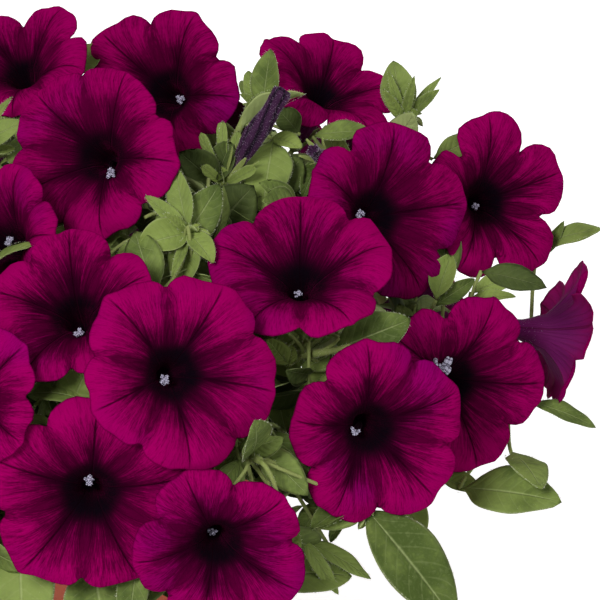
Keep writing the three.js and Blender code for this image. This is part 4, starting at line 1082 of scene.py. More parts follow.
class PetuniaLeaves(bpy.types.PropertyGroup):
    leaf: colour_property("Leaf", "Colour of a grown leaf", colour(124, 141, 72))
    young: colour_property("Young leaf", "Colour of a young leaf", colour(142, 158, 78))
    # The deep leaf colour is random darkening on some leaves and painted shade on shaded ones
    shade: colour_property("Deep leaf", "Colour of the darker leaves", colour(68, 84, 34))
    pale: colour_property("Pale", "Colour of veins, margins and undersides", colour(176, 188, 128))
    # Painted shade on the leaves deep inside the plant
    hollow_shade: colour_property("Hollow", "Colour of the leaves deep inside the plant", colour(34, 40, 20))
    stem: colour_property("Stem", "Colour of stems and stalks", colour(136, 146, 84))
    hair: colour_property("Hair", "Colour of the fine hairs", colour(226, 230, 204))
    hair_length: length_property("Hair length", "Length of the longest hairs on the stems", 1.3)
    inner_leaves: number_property("Inner leaves", "Leaves inside the dome, on each stem", 16, 0, 40)
    # The leaves of these shoots are darkened with painted shade
    filling_shoots: number_property("Filling shoots", "Shoots with dark leaves in the dome", 120, 0, 300)
    hairs: number_property("Hairs", "Hairs on each millimetre of a stem", 9, 0, 30)


class PetuniaPot(bpy.types.PropertyGroup):
    plastic: colour_property("Plastic", "Colour of the pot", colour(188, 84, 50))
    segments: number_property("Segments", "Faces round the pot", 128, 32, 256)


class PetuniaMix(bpy.types.PropertyGroup):
    peat: colour_property("Peat", "Colour of the potting mix", colour(52, 38, 29))
    perlite: colour_property("Perlite", "Colour of the white grains", colour(214, 208, 196))
    grains: number_property("Grains", "White grains on the potting mix", 60, 0, 200)


class PetuniaStage(bpy.types.PropertyGroup):
    floor: colour_property("Floor", "Colour of the floor and the backdrop", colour(246, 246, 246))
    light: bpy.props.FloatProperty(
        name="Light", description="Strength that the lamps share out", default=9.0, min=0, max=100,
    )


# Materials

def petal_paint(values):
    paint = Paint("Petal velvet")
    turn, share = paint.petal_spot()
    tone = paint.value("tone")
    waver, patch = paint.noise(90, 2) - 0.5, paint.noise(34, 2) - 0.5
    side = (turn.fraction() - 0.5) * 2
    width = side * share
    lobe = paint.noise(1.0, 0, where=paint.place(turn.maths("FLOOR") * 7.31, tone * 57, 0.37)) - 0.5
    cloud, grain = paint.noise(130, 3) - 0.5, paint.noise(900, 2) - 0.5
    # Veins leave the midrib and run out to the margin at a slant
    slant = abs(side) - share * 0.55 + waver * 0.05 + patch * 0.12
    streak = paint.noise(1.0, 3, where=paint.place(slant * 8, share * 2.0, tone * 40)) - 0.5
    fine = paint.noise(1.0, 2, where=paint.place(slant * 36, share * 4.5, tone * 40)) - 0.5
    hair_veins = paint.noise(1.0, 2, where=paint.place(turn * 90, share * 5, tone * 40)) - 0.5
    midrib = (width + waver * 0.012).line(0.022) * share.ease(1.02, 0.85)
    veins = slant.stripes(7, 0.12) * share.ease(1.0, 0.5) * (streak + 0.5).ease(0.35, 0.65)
    # The petal is darker towards the throat and along the midrib, and painted shade darkens the crease
    # between two lobes
    band = (abs(width) + cloud * 0.1).ease(0.17, 0.0) * share.ease(0.95, 0.35)
    hollow_shade = ((1 - abs(side)) * share + cloud * 0.05).ease(0.2, 0.0)
    shade = share.ease(1.0, 0.28) * 0.58 + band * 0.42 + hollow_shade * 0.42 + 0.15
    shade = shade + streak * 0.75 + fine * 1.05 + hair_veins * 0.85
    shade = shade + cloud * 0.7 + lobe * 0.5 + grain * 0.35
    # The dark middle runs out along the midribs and breaks up into streaks
    reach = 0.345 - share + abs(side).ease(0.6, 0) * 0.15 + patch * 0.2
    flames = (reach + streak * 0.4 + fine * 0.34 + cloud * 0.2).ease(-0.16, 0.17)
    ground = paint.blend((patch * 2.2 + lobe * 0.6 + tone * 0.5 - 0.1).ease(0.1, 0.9) * 0.6,
                         tint(values.bright), tint(values.violet))
    shaded = paint.blend(shade.ease(0, 0.9) * 0.95, ground, tint(values.deep))
    flamed = paint.blend(flames * 0.92, shaded, tint(values.vein))
    lined = paint.blend((midrib * 0.8 + veins * 0.3).maths("MINIMUM", 0.85), flamed, tint(values.vein))
    rimmed = paint.blend(share.ease(0.98, 1.0) * 0.4, lined, tint(values.vein))
    full = paint.blend((share + streak * 0.16).ease(0.36, 0.2), rimmed, tint(values.throat))
    height = midrib * -1.0 - veins * 0.4 + fine * 0.6 + streak * 0.8 + hair_veins * 0.3 + grain * 0.4
    return paint.finish(
        Base_Color=full, Roughness=0.66 + fine * 0.2, Normal=paint.bump(height, 0.0005, 0.9),
        Specular_IOR_Level=0.0, Sheen_Weight=0.22, Sheen_Roughness=0.4,
        Sheen_Tint=tint(values.bright),
    )


def underside_paint(values):
    paint = Paint("Petal underside")
    turn, share = paint.petal_spot()
    tone = paint.value("tone")
    side = (turn.fraction() - 0.5) * 2
    streak = paint.noise(1.0, 3, where=paint.place(turn * 26, share * 3, tone * 40))
    radial = (side + (streak - 0.5) * 0.2).stripes(4, 0.2)
    midrib = (side * (share + 0.12)).line(0.05)
    ribs = (midrib + radial * 0.4).maths("MINIMUM", 1.0)
    ground = paint.blend(
        (share + (streak - 0.5) * 0.5).ease(0.4, 1.1) * 0.7, tint(values.under), tint(values.bright),
    )
    full = paint.blend(ribs * 0.6, ground, tint(values.deep))
    grain = paint.noise(900, 2)
    return paint.finish(
        Base_Color=full, Roughness=0.6 + grain * 0.15, Specular_IOR_Level=0.12,
        Normal=paint.bump(ribs + streak * 0.6 + grain * 0.2, 0.0004, 0.8),
    )


def filament_paint(values):
    paint = Paint("Filaments")
    grain = paint.noise(500, 2)
    full = paint.blend(grain.ease(0.3, 0.7), tint(values.throat), tint(values.vein))
    return paint.finish(Base_Color=full, Roughness=0.6 + grain * 0.1, Specular_IOR_Level=0.1)


def anther_paint(values):
    paint = Paint("Anthers and pollen")
    grain = paint.noise(2600, 2)
    # Dark bands across each anther are painted shade of gaps between lumps of pollen, and the grain adds
    # darker specks
    gap_shade = paint.value("along").stripes(3, 0.3)
    full = paint.blend((gap_shade * 0.75 + grain.ease(0.45, 0.7) * 0.5).ease(0, 1), tint(values.anther),
                       tint(GAP_SHADE_AND_SPECKS))
    return paint.finish(
        Base_Color=full, Roughness=0.85 - grain * 0.1, Normal=paint.bump(grain, 0.0003, 0.9),
    )


def bud_paint(values):
    paint = Paint("Closed bloom skin")
    groove, along = paint.value("groove"), paint.value("along")
    streak = paint.noise(260, 3)
    grain = paint.noise(1800, 2)
    # The ridges of the pleats keep the skin colour, and the creases between them get the fold colour as
    # painted shade
    ridge = (groove + (streak - 0.5) * 0.8).ease(0.2, 0.8)
    ground = paint.blend(ridge, tint(values.fold), tint(values.skin))
    dry = (along.ease(0.35, 0.0) * 0.5 + (grain - 0.5) * 0.3).ease(0, 1)
    full = paint.blend(dry, ground, tint(DRY_SKIN))
    return paint.finish(
        Base_Color=full, Roughness=0.7 + grain * 0.2, Normal=paint.bump(streak + grain * 0.5, 0.0005, 0.8),
        Specular_IOR_Level=0.15,
    )


def leaf_paint(values):
    paint = Paint("Leaf blade")
    along, across, above = paint.value("along"), paint.value("across"), paint.value("above")
    tone, young = paint.value("tone"), paint.value("young")
    side = abs(across)
    waver = paint.noise(160, 2) - 0.5
    midrib = (across + waver * 0.02).line(0.07) * along.ease(1.0, 0.85)
    reach = along - side * 0.16 - side * side * 0.06 + waver * 0.012
    ribs = reach.stripes(8, 0.11) * side.ease(0.98, 0.75) * along.ease(0.98, 0.9)
    net = paint.noise(620, 4)
    patch = paint.noise(75, 3)
    ground = paint.blend(young, tint(values.leaf), tint(values.young))
    # Darker where the tone is high and in random patches: the tone is random for most leaves, and painted
    # light and shade for the rest
    dark = (tone * 0.8 + (patch - 0.5) * 1.5 + (net - 0.5) * 0.7).ease(0.1, 1.0)
    toned = paint.blend(dark, ground, tint(values.shade))
    veins = (midrib * 0.4 + ribs * 0.1).maths("MINIMUM", 1.0)
    margin = side.ease(0.9, 1.0) * 0.5
    pale = (veins + margin + (net - 0.5) * 0.45).maths("MAXIMUM", 0.0)
    veined = paint.blend(pale, toned, tint(values.pale))
    lined = paint.blend(above.ease(0.1, -0.2) * 0.55, veined, tint(values.pale))
    # Painted shade: leaves deep inside the dome, with young below zero, turn towards the darkest colour
    full = paint.blend(young.ease(-0.35, -1.0) * 0.6, lined, tint(values.hollow_shade))
    quilt = (abs((reach * 8 + 0.5).fraction() - 0.5) * 2) ** 0.6
    height = net * 0.35 - midrib * 0.9 + quilt * 0.5 * side.ease(1.0, 0.5) + patch * 0.4
    return paint.finish(
        Base_Color=full, Roughness=0.62 + net * 0.2, Normal=paint.bump(height, 0.0006, 0.7),
        Specular_IOR_Level=0.14,
    )


def stem_paint(values):
    paint = Paint("Stem and sepal skin")
    young = paint.value("young")
    streak = paint.noise(60, 2)
    grain = paint.noise(1400, 2)
    ground = paint.blend(
        (young * 0.6 + (streak - 0.5) * 1.1).ease(0, 1), tint(values.stem), tint(values.young),
    )
    full = paint.blend((grain - 0.45).ease(0, 0.4) * 0.35, ground, tint(values.pale))
    return paint.finish(
        Base_Color=full, Roughness=0.6 + grain * 0.2, Normal=paint.bump(grain + streak, 0.0003, 0.7),
        Specular_IOR_Level=0.15,
    )


def hair_paint(title, hair, skin):
    """Hairs with a little of the colour of the skin that they grow on"""
    paint = Paint(title)
    grain = paint.noise(300, 1)
    full = paint.blend(grain.ease(0.3, 0.7) * 0.4, tint(hair), tint(skin))
    return paint.finish(Base_Color=full, Roughness=0.5 + grain * 0.1)


def petal_hair_paint(values):
    return hair_paint("Hairs on tubes and buds", TUBE_HAIR, values.under)


def pot_paint(values):
    paint = Paint("Terracotta plastic")
    cloud, grain = paint.noise(14, 3), paint.noise(1300, 2)
    scuff = paint.noise(1.0, 4, (60, 60, 900))
    patches = (cloud - 0.5 + (grain - 0.5) * 0.3).ease(-0.3, 0.4)
    ground = paint.blend(patches, tint(values.plastic), tint(values.plastic, 0.8))
    full = paint.blend(scuff.ease(0.62, 0.75) * 0.18, ground, tint(SCUFFED))
    return paint.finish(
        Base_Color=full, Roughness=0.42 + grain * 0.12 + scuff.ease(0.5, 0.8) * 0.15,
        Normal=paint.bump(grain + scuff * 0.5, 0.0002, 0.5), Specular_IOR_Level=0.45,
    )


def mix_paint(values):
    paint = Paint("Peat and fibres")
    crumb, grain = paint.noise(220, 4), paint.noise(900, 3)
    fibre = paint.noise(160, 3, (1, 5, 1))
    pale = tint([min(1.0, v * 2.6 + 0.01) for v in values.peat])
    ground = paint.blend(crumb.ease(0.35, 0.6), tint(values.peat, 0.35), tint(values.peat))
    full = paint.blend(fibre.ease(0.6, 0.72) * 0.7, ground, pale)
    return paint.finish(
        Base_Color=full, Roughness=0.92 - grain * 0.1, Normal=paint.bump(crumb * 2 + grain, 0.0012, 1.0),
    )


def perlite_paint(values):
    paint = Paint("Perlite grains")
    grain = paint.noise(1500, 3)
    full = paint.blend(grain.ease(0.35, 0.65), tint(values.perlite), tint(values.perlite, 0.55))
    return paint.finish(Base_Color=full, Roughness=0.9 - grain * 0.1, Normal=paint.bump(grain, 0.0005, 0.9))


def stage_paint(values):
    paint = Paint("Stage paper")
    grain = paint.noise(6, 2)
    full = paint.blend(grain.ease(0.3, 0.7), tint(values.floor), tint(values.floor, 0.97))
    # The camera sees the paper a little brighter, so that it stays white under the plant's soft shadow
    seen = paint.node("ShaderNodeBsdfPrincipled", {}, {
        "Base Color": full, "Roughness": 0.9, "Emission Color": full, "Emission Strength": PAPER_GLOW,
    })
    camera = paint.flow("ShaderNodeLightPath", "Is Camera Ray")
    either = paint.node("ShaderNodeMixShader", {}, {
        0: camera, 1: Flow(paint, paint.shader.outputs[0]), 2: Flow(paint, seen.outputs[0]),
    })
    output = next(node for node in paint.tree.nodes if node.type == "OUTPUT_MATERIAL")
    paint.tree.links.new(either.outputs[0], output.inputs[0])
    return paint.finish(Base_Color=full, Roughness=0.9)


def soft_room():
    """The light from all round, which the camera sees as plain white"""
    world = bpy.data.worlds.new("Soft room")
    world.use_nodes = True
    nodes, links = world.node_tree.nodes, world.node_tree.links
    light = nodes["Background"]
    light.inputs["Strength"].default_value = ROOM_LIGHT
    seen = nodes.new("ShaderNodeBackground")
    for background in (light, seen):
        background.inputs["Color"].default_value = (1, 1, 1, 1)
    path, either = nodes.new("ShaderNodeLightPath"), nodes.new("ShaderNodeMixShader")
    links.new(path.outputs["Is Camera Ray"], either.inputs[0])
    links.new(light.outputs[0], either.inputs[1])
    links.new(seen.outputs[0], either.inputs[2])
    links.new(either.outputs[0], nodes["World Output"].inputs[0])
    return world


# Blooms

def limb_share(bloom, angle):
    """How the limb's edge varies round the flower. The angle starts at a notch."""
    from_notch = np.abs((angle / LOBE_ANGLE + 0.5) % 1 - 0.5) * 2
    notch = 1 - bloom["notch"] * (0.6 * (1 - from_notch) ** 1.8 + 1.3 * (1 - from_notch) ** 7)
    roll = bloom["roll"]
    return notch * (1 + 0.035 * np.cos(angle + roll) + 0.03 * np.cos(2 * angle - roll))


def limb_height(bloom, share, angle):
    """How high the limb stands over its middle: a funnel that opens into a slightly wavy plate"""
    roll = bloom["roll"]
    funnel = -FUNNEL_DEPTH * (np.maximum(0, 1 - share) / (1 - FUNNEL_START)) ** FUNNEL_POWER
    wave = 1.3 * np.cos(2 * angle + roll) + 0.9 * np.cos(3 * angle - 2 * roll)
    lobe_lift = -0.8 * np.cos(LOBES * angle)
    return funnel + share ** 2 * (wave + lobe_lift) - 1.6 * share ** 6


def limb_detail(bloom, share, angle, ruffle):
    """The fine form over the main one: ruffled margin, grooves along the midribs, creases at the notches"""
    draw = seeded_draws(31 + 17 * bloom["roll"] ** 2 + int(bloom["radius"]) * 7 + int(bloom["around"]) ** 2)
    side = ((angle / LOBE_ANGLE) % 1 - 0.5) * 2
    reach = bloom["radius"] * share
    from_midrib = np.abs(side) * LOBE_ANGLE / 2 * reach
    from_notch = (1 - np.abs(side)) * LOBE_ANGLE / 2 * reach
    ramp = np.clip((share - 0.2) / 0.3, 0, 1)
    height = -0.45 * np.exp(-from_midrib ** 2) * ramp
    height -= 1.0 * np.exp(-(from_notch / 1.5) ** 1.4) * ramp * np.clip(1.6 - share, 0, 1)
    puff = 1 - (2 * np.abs(side) - 1) ** 2
    height += 1.75 * puff * np.clip((share - 0.3) / 0.4, 0, 1) * (1 - 0.75 * share ** 8)
    tilt = [next(draw) - 0.5 for _ in range(LOBES)]
    lift = [next(draw) - 0.5 for _ in range(LOBES)]
    number = (angle // LOBE_ANGLE).astype(int) % LOBES
    swell = np.sin(pi * np.clip((share - 0.35) / 0.65, 0, 1) / 2) ** 2 * (1 - np.abs(side) ** 3)
    height += (3.2 * np.array(tilt)[number] * side + 3.4 * np.array(lift)[number]) * swell
    # Some lobes curl back at the margin, and each laps a little over its neighbour
    curl = np.array([2.6 * next(draw) for _ in range(LOBES)])
    height -= curl[number] * share ** 9 * (1 - side ** 4)
    laps = np.array([(next(draw) - 0.5) * 2.8 for _ in range(LOBES)])
    lap = laps[(number + (side > 0)) % LOBES]
    height += lap * np.sign(side) * np.exp(-from_notch / 4.5) * share ** 5
    for count in (7, 11, 16, 23):
        phase = 2 * pi * next(draw)
        size = ruffle * 5 / count * (0.5 + next(draw))
        height += size * share ** 5 * np.sin(count * angle + phase)
    margin = np.ones_like(share)
    for count, size in ((9, 0.012), (14, 0.009), (22, 0.006)):
        margin += size * share ** 6 * np.sin(count * angle + 2 * pi * next(draw))
    margin += 0.014 * share ** 8 * np.exp(-(from_midrib / 2.2) ** 2)
    return height, margin


def add_bloom(skin, bloom, columns, ruffle):
    """The corolla: a tube that opens into a limb of five lobes"""
    right, up, out = bloom_axes(bloom)
    middle = middle_of(bloom)
    start = radians(bloom["roll"] + 180 / LOBES)
    limb = LIMB_UNDER + [1.0] + LIMB_UPPER
    outside, inside = [0] * len(TUBE_OUTSIDE), [0] * len(TUBE_INSIDE)
    rows = len(outside + limb + inside) - 1
    angle, way, quads, tris = ball(columns, rows)
    row = np.rint(way * rows).astype(int)
    # Columns stand closer at the notches and the midribs
    angle = angle - 0.5 * np.sin(2 * LOBES * angle) / (2 * LOBES)
    share = np.array(outside + limb + inside)[row]
    lower = np.array(outside + LIMB_THICKNESS + inside)[row]
    tube_radius, tube_height = np.array(TUBE_OUTSIDE + [(0, 0)] * len(limb) + TUBE_INSIDE)[row].T
    on_limb = share > 0
    detail, margin = limb_detail(bloom, share, angle, ruffle)
    notched = 1 + (limb_share(bloom, angle) - 1) * np.clip(share * 1.2 - 0.1, 0, 1)
    # The tube is fluted below the limb
    fluted = tube_radius + 0.14 * np.cos(LOBES * angle) * (tube_radius > 2.8)
    radius = np.where(on_limb, bloom["radius"] * share * margin * notched, fluted)
    height = np.where(on_limb, limb_height(bloom, share, angle) + detail - lower, tube_height)
    turned = angle + start
    places = from_middle(middle, (right, up, out), radius * np.cos(turned), radius * np.sin(turned), height)
    below = row < len(outside + LIMB_UNDER)
    depth = np.where(on_limb, share, np.clip(0.2 * tube_radius / 6.5, 0, 0.2))
    tone = (bloom["roll"] * 0.37 + bloom["around"] * 0.113) % 1

    def mapped(faces):
        """Lobes round the bloom and depth, with no jump where the last lobe meets the first"""
        turns = angle[faces] / LOBE_ANGLE
        poles = (row[faces] == 0) | (row[faces] == rows)
        over_seam = (turns.max(1) - turns.min(1) > LOBES / 2)[:, None]
        wrapped = np.where(over_seam & (turns < LOBES / 2) & ~poles, turns + LOBES, turns)
        if poles.any():
            others = np.where(poles, 0, wrapped).sum(1) / np.maximum(1, (~poles).sum(1))
            wrapped = np.where(poles, others[:, None], wrapped)
        return np.stack([wrapped, depth[faces]], -1)

    kinds = tuple(np.where(below[faces].mean(1) > 0.4, 1, 0) for faces in (quads, tris))
    skin.add(places, quads, tris, kind=kinds, quad_map=mapped(quads), tri_map=mapped(tris), tone=tone)
    return middle, right, up, out


def add_anthers(skin, bloom, middle, right, up, out):
    """The style and five stamens, whose anthers stand in a loose cluster in the throat"""
    draw = seeded_draws(577 + int(bloom["radius"]) * 31 + int(bloom["around"]) ** 2 + bloom["roll"])
    aside, above, high, size = ANTHER_LEANS.get(
        bloom["name"], (5 * (next(draw) - 0.5), 5 * (next(draw) - 0.6), -10, 1),
    )
    lean = right * aside + up * above
    foot = middle + out * (-TUBE_DEPTH - 4.5)
    for i in range(LOBES + 1):
        turn = 2 * pi * (i + next(draw) * 0.8) / LOBES
        away = 0.2 if i == LOBES else 0.9 + 0.8 * next(draw)
        apart = (right * cos(turn) + up * sin(turn)) * away * size
        top = middle + lean + apart + out * (high + 2.2 * (next(draw) - 0.5))
        base = foot + apart * 0.4
        path = Curve([base, base + out * 7, top - out * 3 - lean * 0.4, top]).spaced(6)
        add_rod(skin, path, np.full(7, FILAMENT_RADIUS), 5, kind=3)
        lie = unit(right * (next(draw) - 0.5) + up * (next(draw) - 0.5) + out * (next(draw) - 0.5) * 0.6)
        half = unit(np.cross(lie, out)) * 0.36 * size
        long = (0.7 + 0.35 * next(draw)) * size
        for side in (-1, 1):
            add_knob(skin, top + half * side, lie, (0.42 * size, 0.42 * size, long), 0, kind=2)


def add_knob(skin, middle, ahead, sizes, turn, sides=8, rows=6, **values):
    """A small lump, longer or shorter along `ahead` than across it"""
    angle, share, quads, tris = ball(sides, rows)
    across = unit(np.cross(ahead, [0.3, 0.2, 1.0]))
    over = np.cross(ahead, across)
    ring = np.sin(pi * share)
    places = from_middle(
        middle, (across, over, ahead), sizes[0] * ring * np.cos(angle + turn),
        sizes[1] * ring * np.sin(angle + turn), -sizes[2] * np.cos(pi * share),
    )
    skin.add(places, quads, tris, along=share, **values)


def add_tube_hairs(skin, bloom, middle, right, up, out):
    """Short hairs on the outside of the tube"""
    draw = np.random.default_rng(int(bloom["radius"] * 1000 + bloom["roll"] + abs(bloom["around"])))
    count = 300
    height = -COROLLA_LENGTH + 2 + draw.random(count) * 21
    radii, heights = zip(*TUBE_OUTSIDE[1:])
    radius = np.interp(height, heights, radii)
    turn = draw.random(count) * 2 * pi
    outwards = right * np.cos(turn)[:, None] + up * np.sin(turn)[:, None]
    roots = middle + outwards * (radius - 0.1)[:, None] + out * height[:, None]
    directions = outwards + out * (draw.random(count) * 0.5)[:, None] + draw.normal(0, 0.2, (count, 3))
    add_hairs(skin, roots, directions, 0.5 + 0.7 * draw.random(count), 0.06, kind=4)


def make_bloom(bloom, paints, values):
    skin = Skin()
    columns = values.columns
    axes = add_bloom(skin, bloom, columns, values.ruffle / MM)
    add_anthers(skin, bloom, *axes)
    add_tube_hairs(skin, bloom, *axes)
    skin.finish(bloom["name"].replace("bloom", "open_bloom"), paints, "petal", bloom["name"])


# Closed blooms

def make_bud(bud, paints):
    """A closed bloom: five pleats that twist towards a blunt mouth, with short hairs"""
    skin = Skin()
    right, up, out = bloom_axes(bud)
    foot = calyx_spot(bud)
    shares = np.linspace(0, 1, 34)
    sides, rows = 60, len(shares) + 3
    angle, way, quads, tris = ball(sides, rows)
    row = np.rint(way * rows).astype(int)
    # The last two rows turn in, so that the tip is a blunt, half open mouth
    along = np.concatenate([[0], shares, [0.985, 0.93, 0.9]])[row]
    inner = np.concatenate([[0], np.ones(len(shares)), [0.62, 0.4, 0]])[row]
    girth = np.interp(along, BUD_SHARES, BUD_GIRTHS) * inner
    girth[row == 0] = 0
    turned = angle + along * 1.7
    pleat = np.abs(np.sin(LOBES * turned / 2 + 0.35 * np.sin(along * 9)))
    crimp = 0.5 + 0.5 * np.cos(3 * LOBES * turned + along * 6)
    radius = bud["radius"] * girth * (0.6 + 0.4 * pleat ** 0.6 + 0.03 * crimp)
    bend = 0.9 * np.sin(along * pi) * bud["length"] / 40
    lift = mix(TUBE_SEAT, bud["length"], along) + np.where(along > 0.9, 0.7 * pleat, 0) * (along < 1)
    places = from_middle(foot, (right, up, out), radius * np.cos(angle) + bend, radius * np.sin(angle),
                         np.minimum(lift, bud["length"]))
    skin.add(places, quads, tris, groove=pleat * 0.8 + crimp * 0.2, along=along)
    draw = np.random.default_rng(int(bud["length"] * 10 + bud["turn"] + 400))
    count = 1500
    faces = quads[((row[quads] > 1) & (inner[quads] == 1)).all(1)]
    spots = faces[draw.integers(0, len(faces), count)]
    weights = draw.dirichlet([1.0] * 4, count)[..., None]
    roots = (places[spots] * weights).sum(1)
    outwards = roots - (foot + out * ((lift[spots, None] * weights).sum(1)))
    directions = units(outwards) + out * 0.5 + draw.normal(0, 0.35, outwards.shape)
    add_hairs(skin, roots, directions, 0.4 + 0.5 * draw.random(count), 0.055, kind=1)
    skin.finish(bud["name"].replace("bud", "closed_bloom"), paints, "bud", bud["name"])


# Leafy stems

# How many sides and rows a leaf has, for leaves up to a length, and for those deep inside the dome
LEAF_MESHES = [(11, 8, 8), (18, 10, 11), (1000, 12, 17)]
DEEP_LEAF_MESH = (8, 9)


def add_leaf(skin, leaf, seed):
    """A blade with wavy margins, a groove along its midrib and a rounded petiole"""
    draw = np.random.default_rng(seed)
    finest = next(mesh for longest, *mesh in LEAF_MESHES if leaf["length"] < longest)
    angle, share, quads, tris = ball(*(DEEP_LEAF_MESH if "deep" in leaf else finest))
    side, over = -np.cos(angle), np.sin(angle)
    between = (share > 1e-6) & (share < 1 - 1e-6)
    side, over = side * between, over * between
    phase = draw.random(4) * 2 * pi
    shape = leaf["width"] / 2 * (spoon_shape(share) if leaf.get("blunt") else leaf_shape(share))
    blade = np.clip(shape / 1.6, 0, 1)
    petiole = np.interp(share, [0, 0.1, 0.3], [0.8, 0.75, 0.5])
    half = np.maximum(shape * (1 + 0.012 * np.sin(share * 17 + phase[0])), petiole * (share < 0.3))
    rim = side ** 2 * blade
    wave = rim * (0.35 * np.sin(share * 15 + phase[1] + np.sign(side)) + 0.3 * np.sin(share * 8 + phase[2]))
    rib = np.exp(-(side / 0.16) ** 2) * blade
    cup = 0.05 * leaf["width"] * np.cos(side * pi) * blade * 0.3
    if leaf["length"] < 22:
        cup = cup + leaf["width"] * (0.1 + 0.12 * draw.random()) * (side ** 2 - 0.3) * blade
    thick = np.interp(share, [0, 0.12, 0.3, 1], [0.75, 0.7, 0.3, 0.2])
    groove = rib * np.where(over > -0.2, 0.22, 0.3)
    above = over * thick + wave * leaf["length"] / 36 - groove + cup
    middle = leaf_place(leaf, share, 0, 0)
    apart = leaf_place(leaf, share, side, above, half) - middle
    twist = (draw.normal(0, 0.1) * share)[:, None]
    places = middle + apart * np.cos(twist) + np.cross(leaf["along"], apart) * np.sin(twist)
    young = float(np.clip((24 - leaf["length"]) / 20, 0, 1)) * 0.9 + draw.random() * 0.12
    tone = draw.random()
    # A given tone sets how dark the leaf is, which for some leaves paints how lit and shaded they look
    if "tone" in leaf:
        tone = leaf["tone"] + 0.25 * tone
    # Leaves deep inside the dome are painted with shade: a dark tone, and a young value below zero that the
    # leaf paint turns towards the darkest colour
    if "deep" in leaf:
        tone, young = 0.45 + 0.55 * leaf["deep"], -leaf["deep"]
    skin.add(places, quads, tris, along=share, across=side, above=over, tone=tone, young=young)
    return draw


def add_leaf_hairs(skin, leaf, draw):
    """Short pale hairs along the margins and over the upper side"""
    rim = int(leaf["length"] * (4.6))
    share = draw.random(rim) * 0.96 + 0.03
    side = np.where(draw.random(rim) < 0.5, -1.0, 1.0)
    roots = leaf_place(leaf, share, side * 0.97, 0)
    outwards = units(roots - leaf_place(leaf, share - 0.02, 0, 0))
    directions = outwards + draw.normal(0, 0.3, (rim, 3))
    add_hairs(skin, roots, directions, 0.4 + 0.6 * draw.random(rim), 0.055, kind=2)
    face = int(leaf["length"] * leaf["width"] * (0.05))
    share, side = draw.random(face) * 0.85 + 0.1, draw.random(face) * 1.7 - 0.85
    roots = leaf_place(leaf, share, side, 0.05)
    directions = leaf["face"] + leaf["along"] * 0.4 + draw.normal(0, 0.25, (face, 3))
    add_hairs(skin, roots, directions, 0.35 + 0.3 * draw.random(face), 0.04, kind=2)


def add_stem_hairs(skin, curve, radius, number, longest, draw, start=0.0):
    """Hairs all round a stem, stalk or twig, so many for each millimetre of it"""
    count = int(curve.lengths[-1] * number * 1 * (1 - start))
    share = start + (1 - start) * draw.random(count)
    places = curve.at(share)
    ahead = units(curve.at(np.minimum(share + 0.01, 1)) - curve.at(np.maximum(share - 0.01, 0)))
    any_way = draw.normal(0, 1, (count, 3))
    outwards = units(any_way - ahead * (any_way * ahead).sum(1)[:, None])
    directions = outwards + ahead * 0.15 + draw.normal(0, 0.2, (count, 3))
    add_hairs(skin, places + outwards * radius * 0.9, directions,
              longest * (0.45 + 0.55 * draw.random(count)), 0.05, kind=2)


# Outline of a calyx's cup: height from the flower's seat, and radius
CUP_HEIGHTS = np.array([-2.4, -1.6, -0.8, 0, 0.9, 1.9, 2.9])
CUP_RADII = np.array([0.95, 1.5, 2.3, 2.75, 2.95, 3.05, 2.9])
SHORT_FLOWER = 20


def add_calyx(skin, flower, turn, longest, draw):
    """A cup of five narrow sepals at the end of a stalk"""
    right, up, out = bloom_axes(flower)
    foot = calyx_spot(flower)
    wide = CUP_RADIUS * (1 if flower.get("length", COROLLA_LENGTH) > SHORT_FLOWER else 0.8)
    add_rod(skin, foot + out * CUP_HEIGHTS[:, None], CUP_RADII * wide / 3, 14, kind=1, young=0.5)
    for i in range(LOBES):
        a = turn + 2 * pi * i / LOBES
        outwards = right * cos(a) + up * sin(a)
        bow = 0.8 + 0.5 * draw.random()
        tip = foot + outwards * SEPAL_SPREAD + out * SEPAL_LENGTH
        path = Curve([
            foot + outwards * (wide - 0.8) + out * 0.2, foot + outwards * (wide + 0.2) + out * 4,
            foot + outwards * (wide + bow) + out * 7.5, tip,
        ]).spaced(10)
        add_strip(skin, path, outwards, 1.35, 0.32, young=0.45 + 0.3 * draw.random())
        rim = 56
        share = draw.random(rim)
        on = np.stack([np.interp(share * 10, np.arange(11), path[:, k]) for k in range(3)], 1)
        aside = draw.choice([-1, 1], rim) * np.interp(share, [0, 0.3, 1], [1, 1.2, 0.2])
        across = np.cross(out, outwards) * aside[:, None]
        directions = across * 0.7 + outwards * draw.random(rim)[:, None] + draw.normal(0, 0.3, (rim, 3))
        add_hairs(skin, on + across, directions, longest * (0.4 + 0.5 * draw.random(rim)), 0.05, kind=2)


def add_strip(skin, path, facing, half, thick, **values):
    """A narrow flat blade along a path"""
    rows = len(path) + 1
    angle, share, quads, tris = ball(10, rows)
    row = np.rint(share * rows).astype(int)
    on = np.clip(row - 1, 0, len(path) - 1)
    ahead = units(np.gradient(path, axis=0))
    normal = units(facing - ahead * (ahead @ facing)[:, None])
    across = np.cross(normal, ahead)
    taper = np.interp(on / (len(path) - 1), [0, 0.35, 0.75, 1], [0.8, 1, 0.75, 0.25])
    inner = ((row > 0) & (row < rows)) * taper
    places = (
        path[on] + across[on] * (half * inner * np.cos(angle))[:, None]
        + normal[on] * (thick * inner * np.sin(angle) + 0.25 * inner * np.cos(angle) ** 2)[:, None]
    )
    skin.add(places, quads, tris, kind=1, **values)


def closest(places, others):
    """How near some places come to others"""
    return np.linalg.norm(places[:, None] - others[None], axis=2).min()


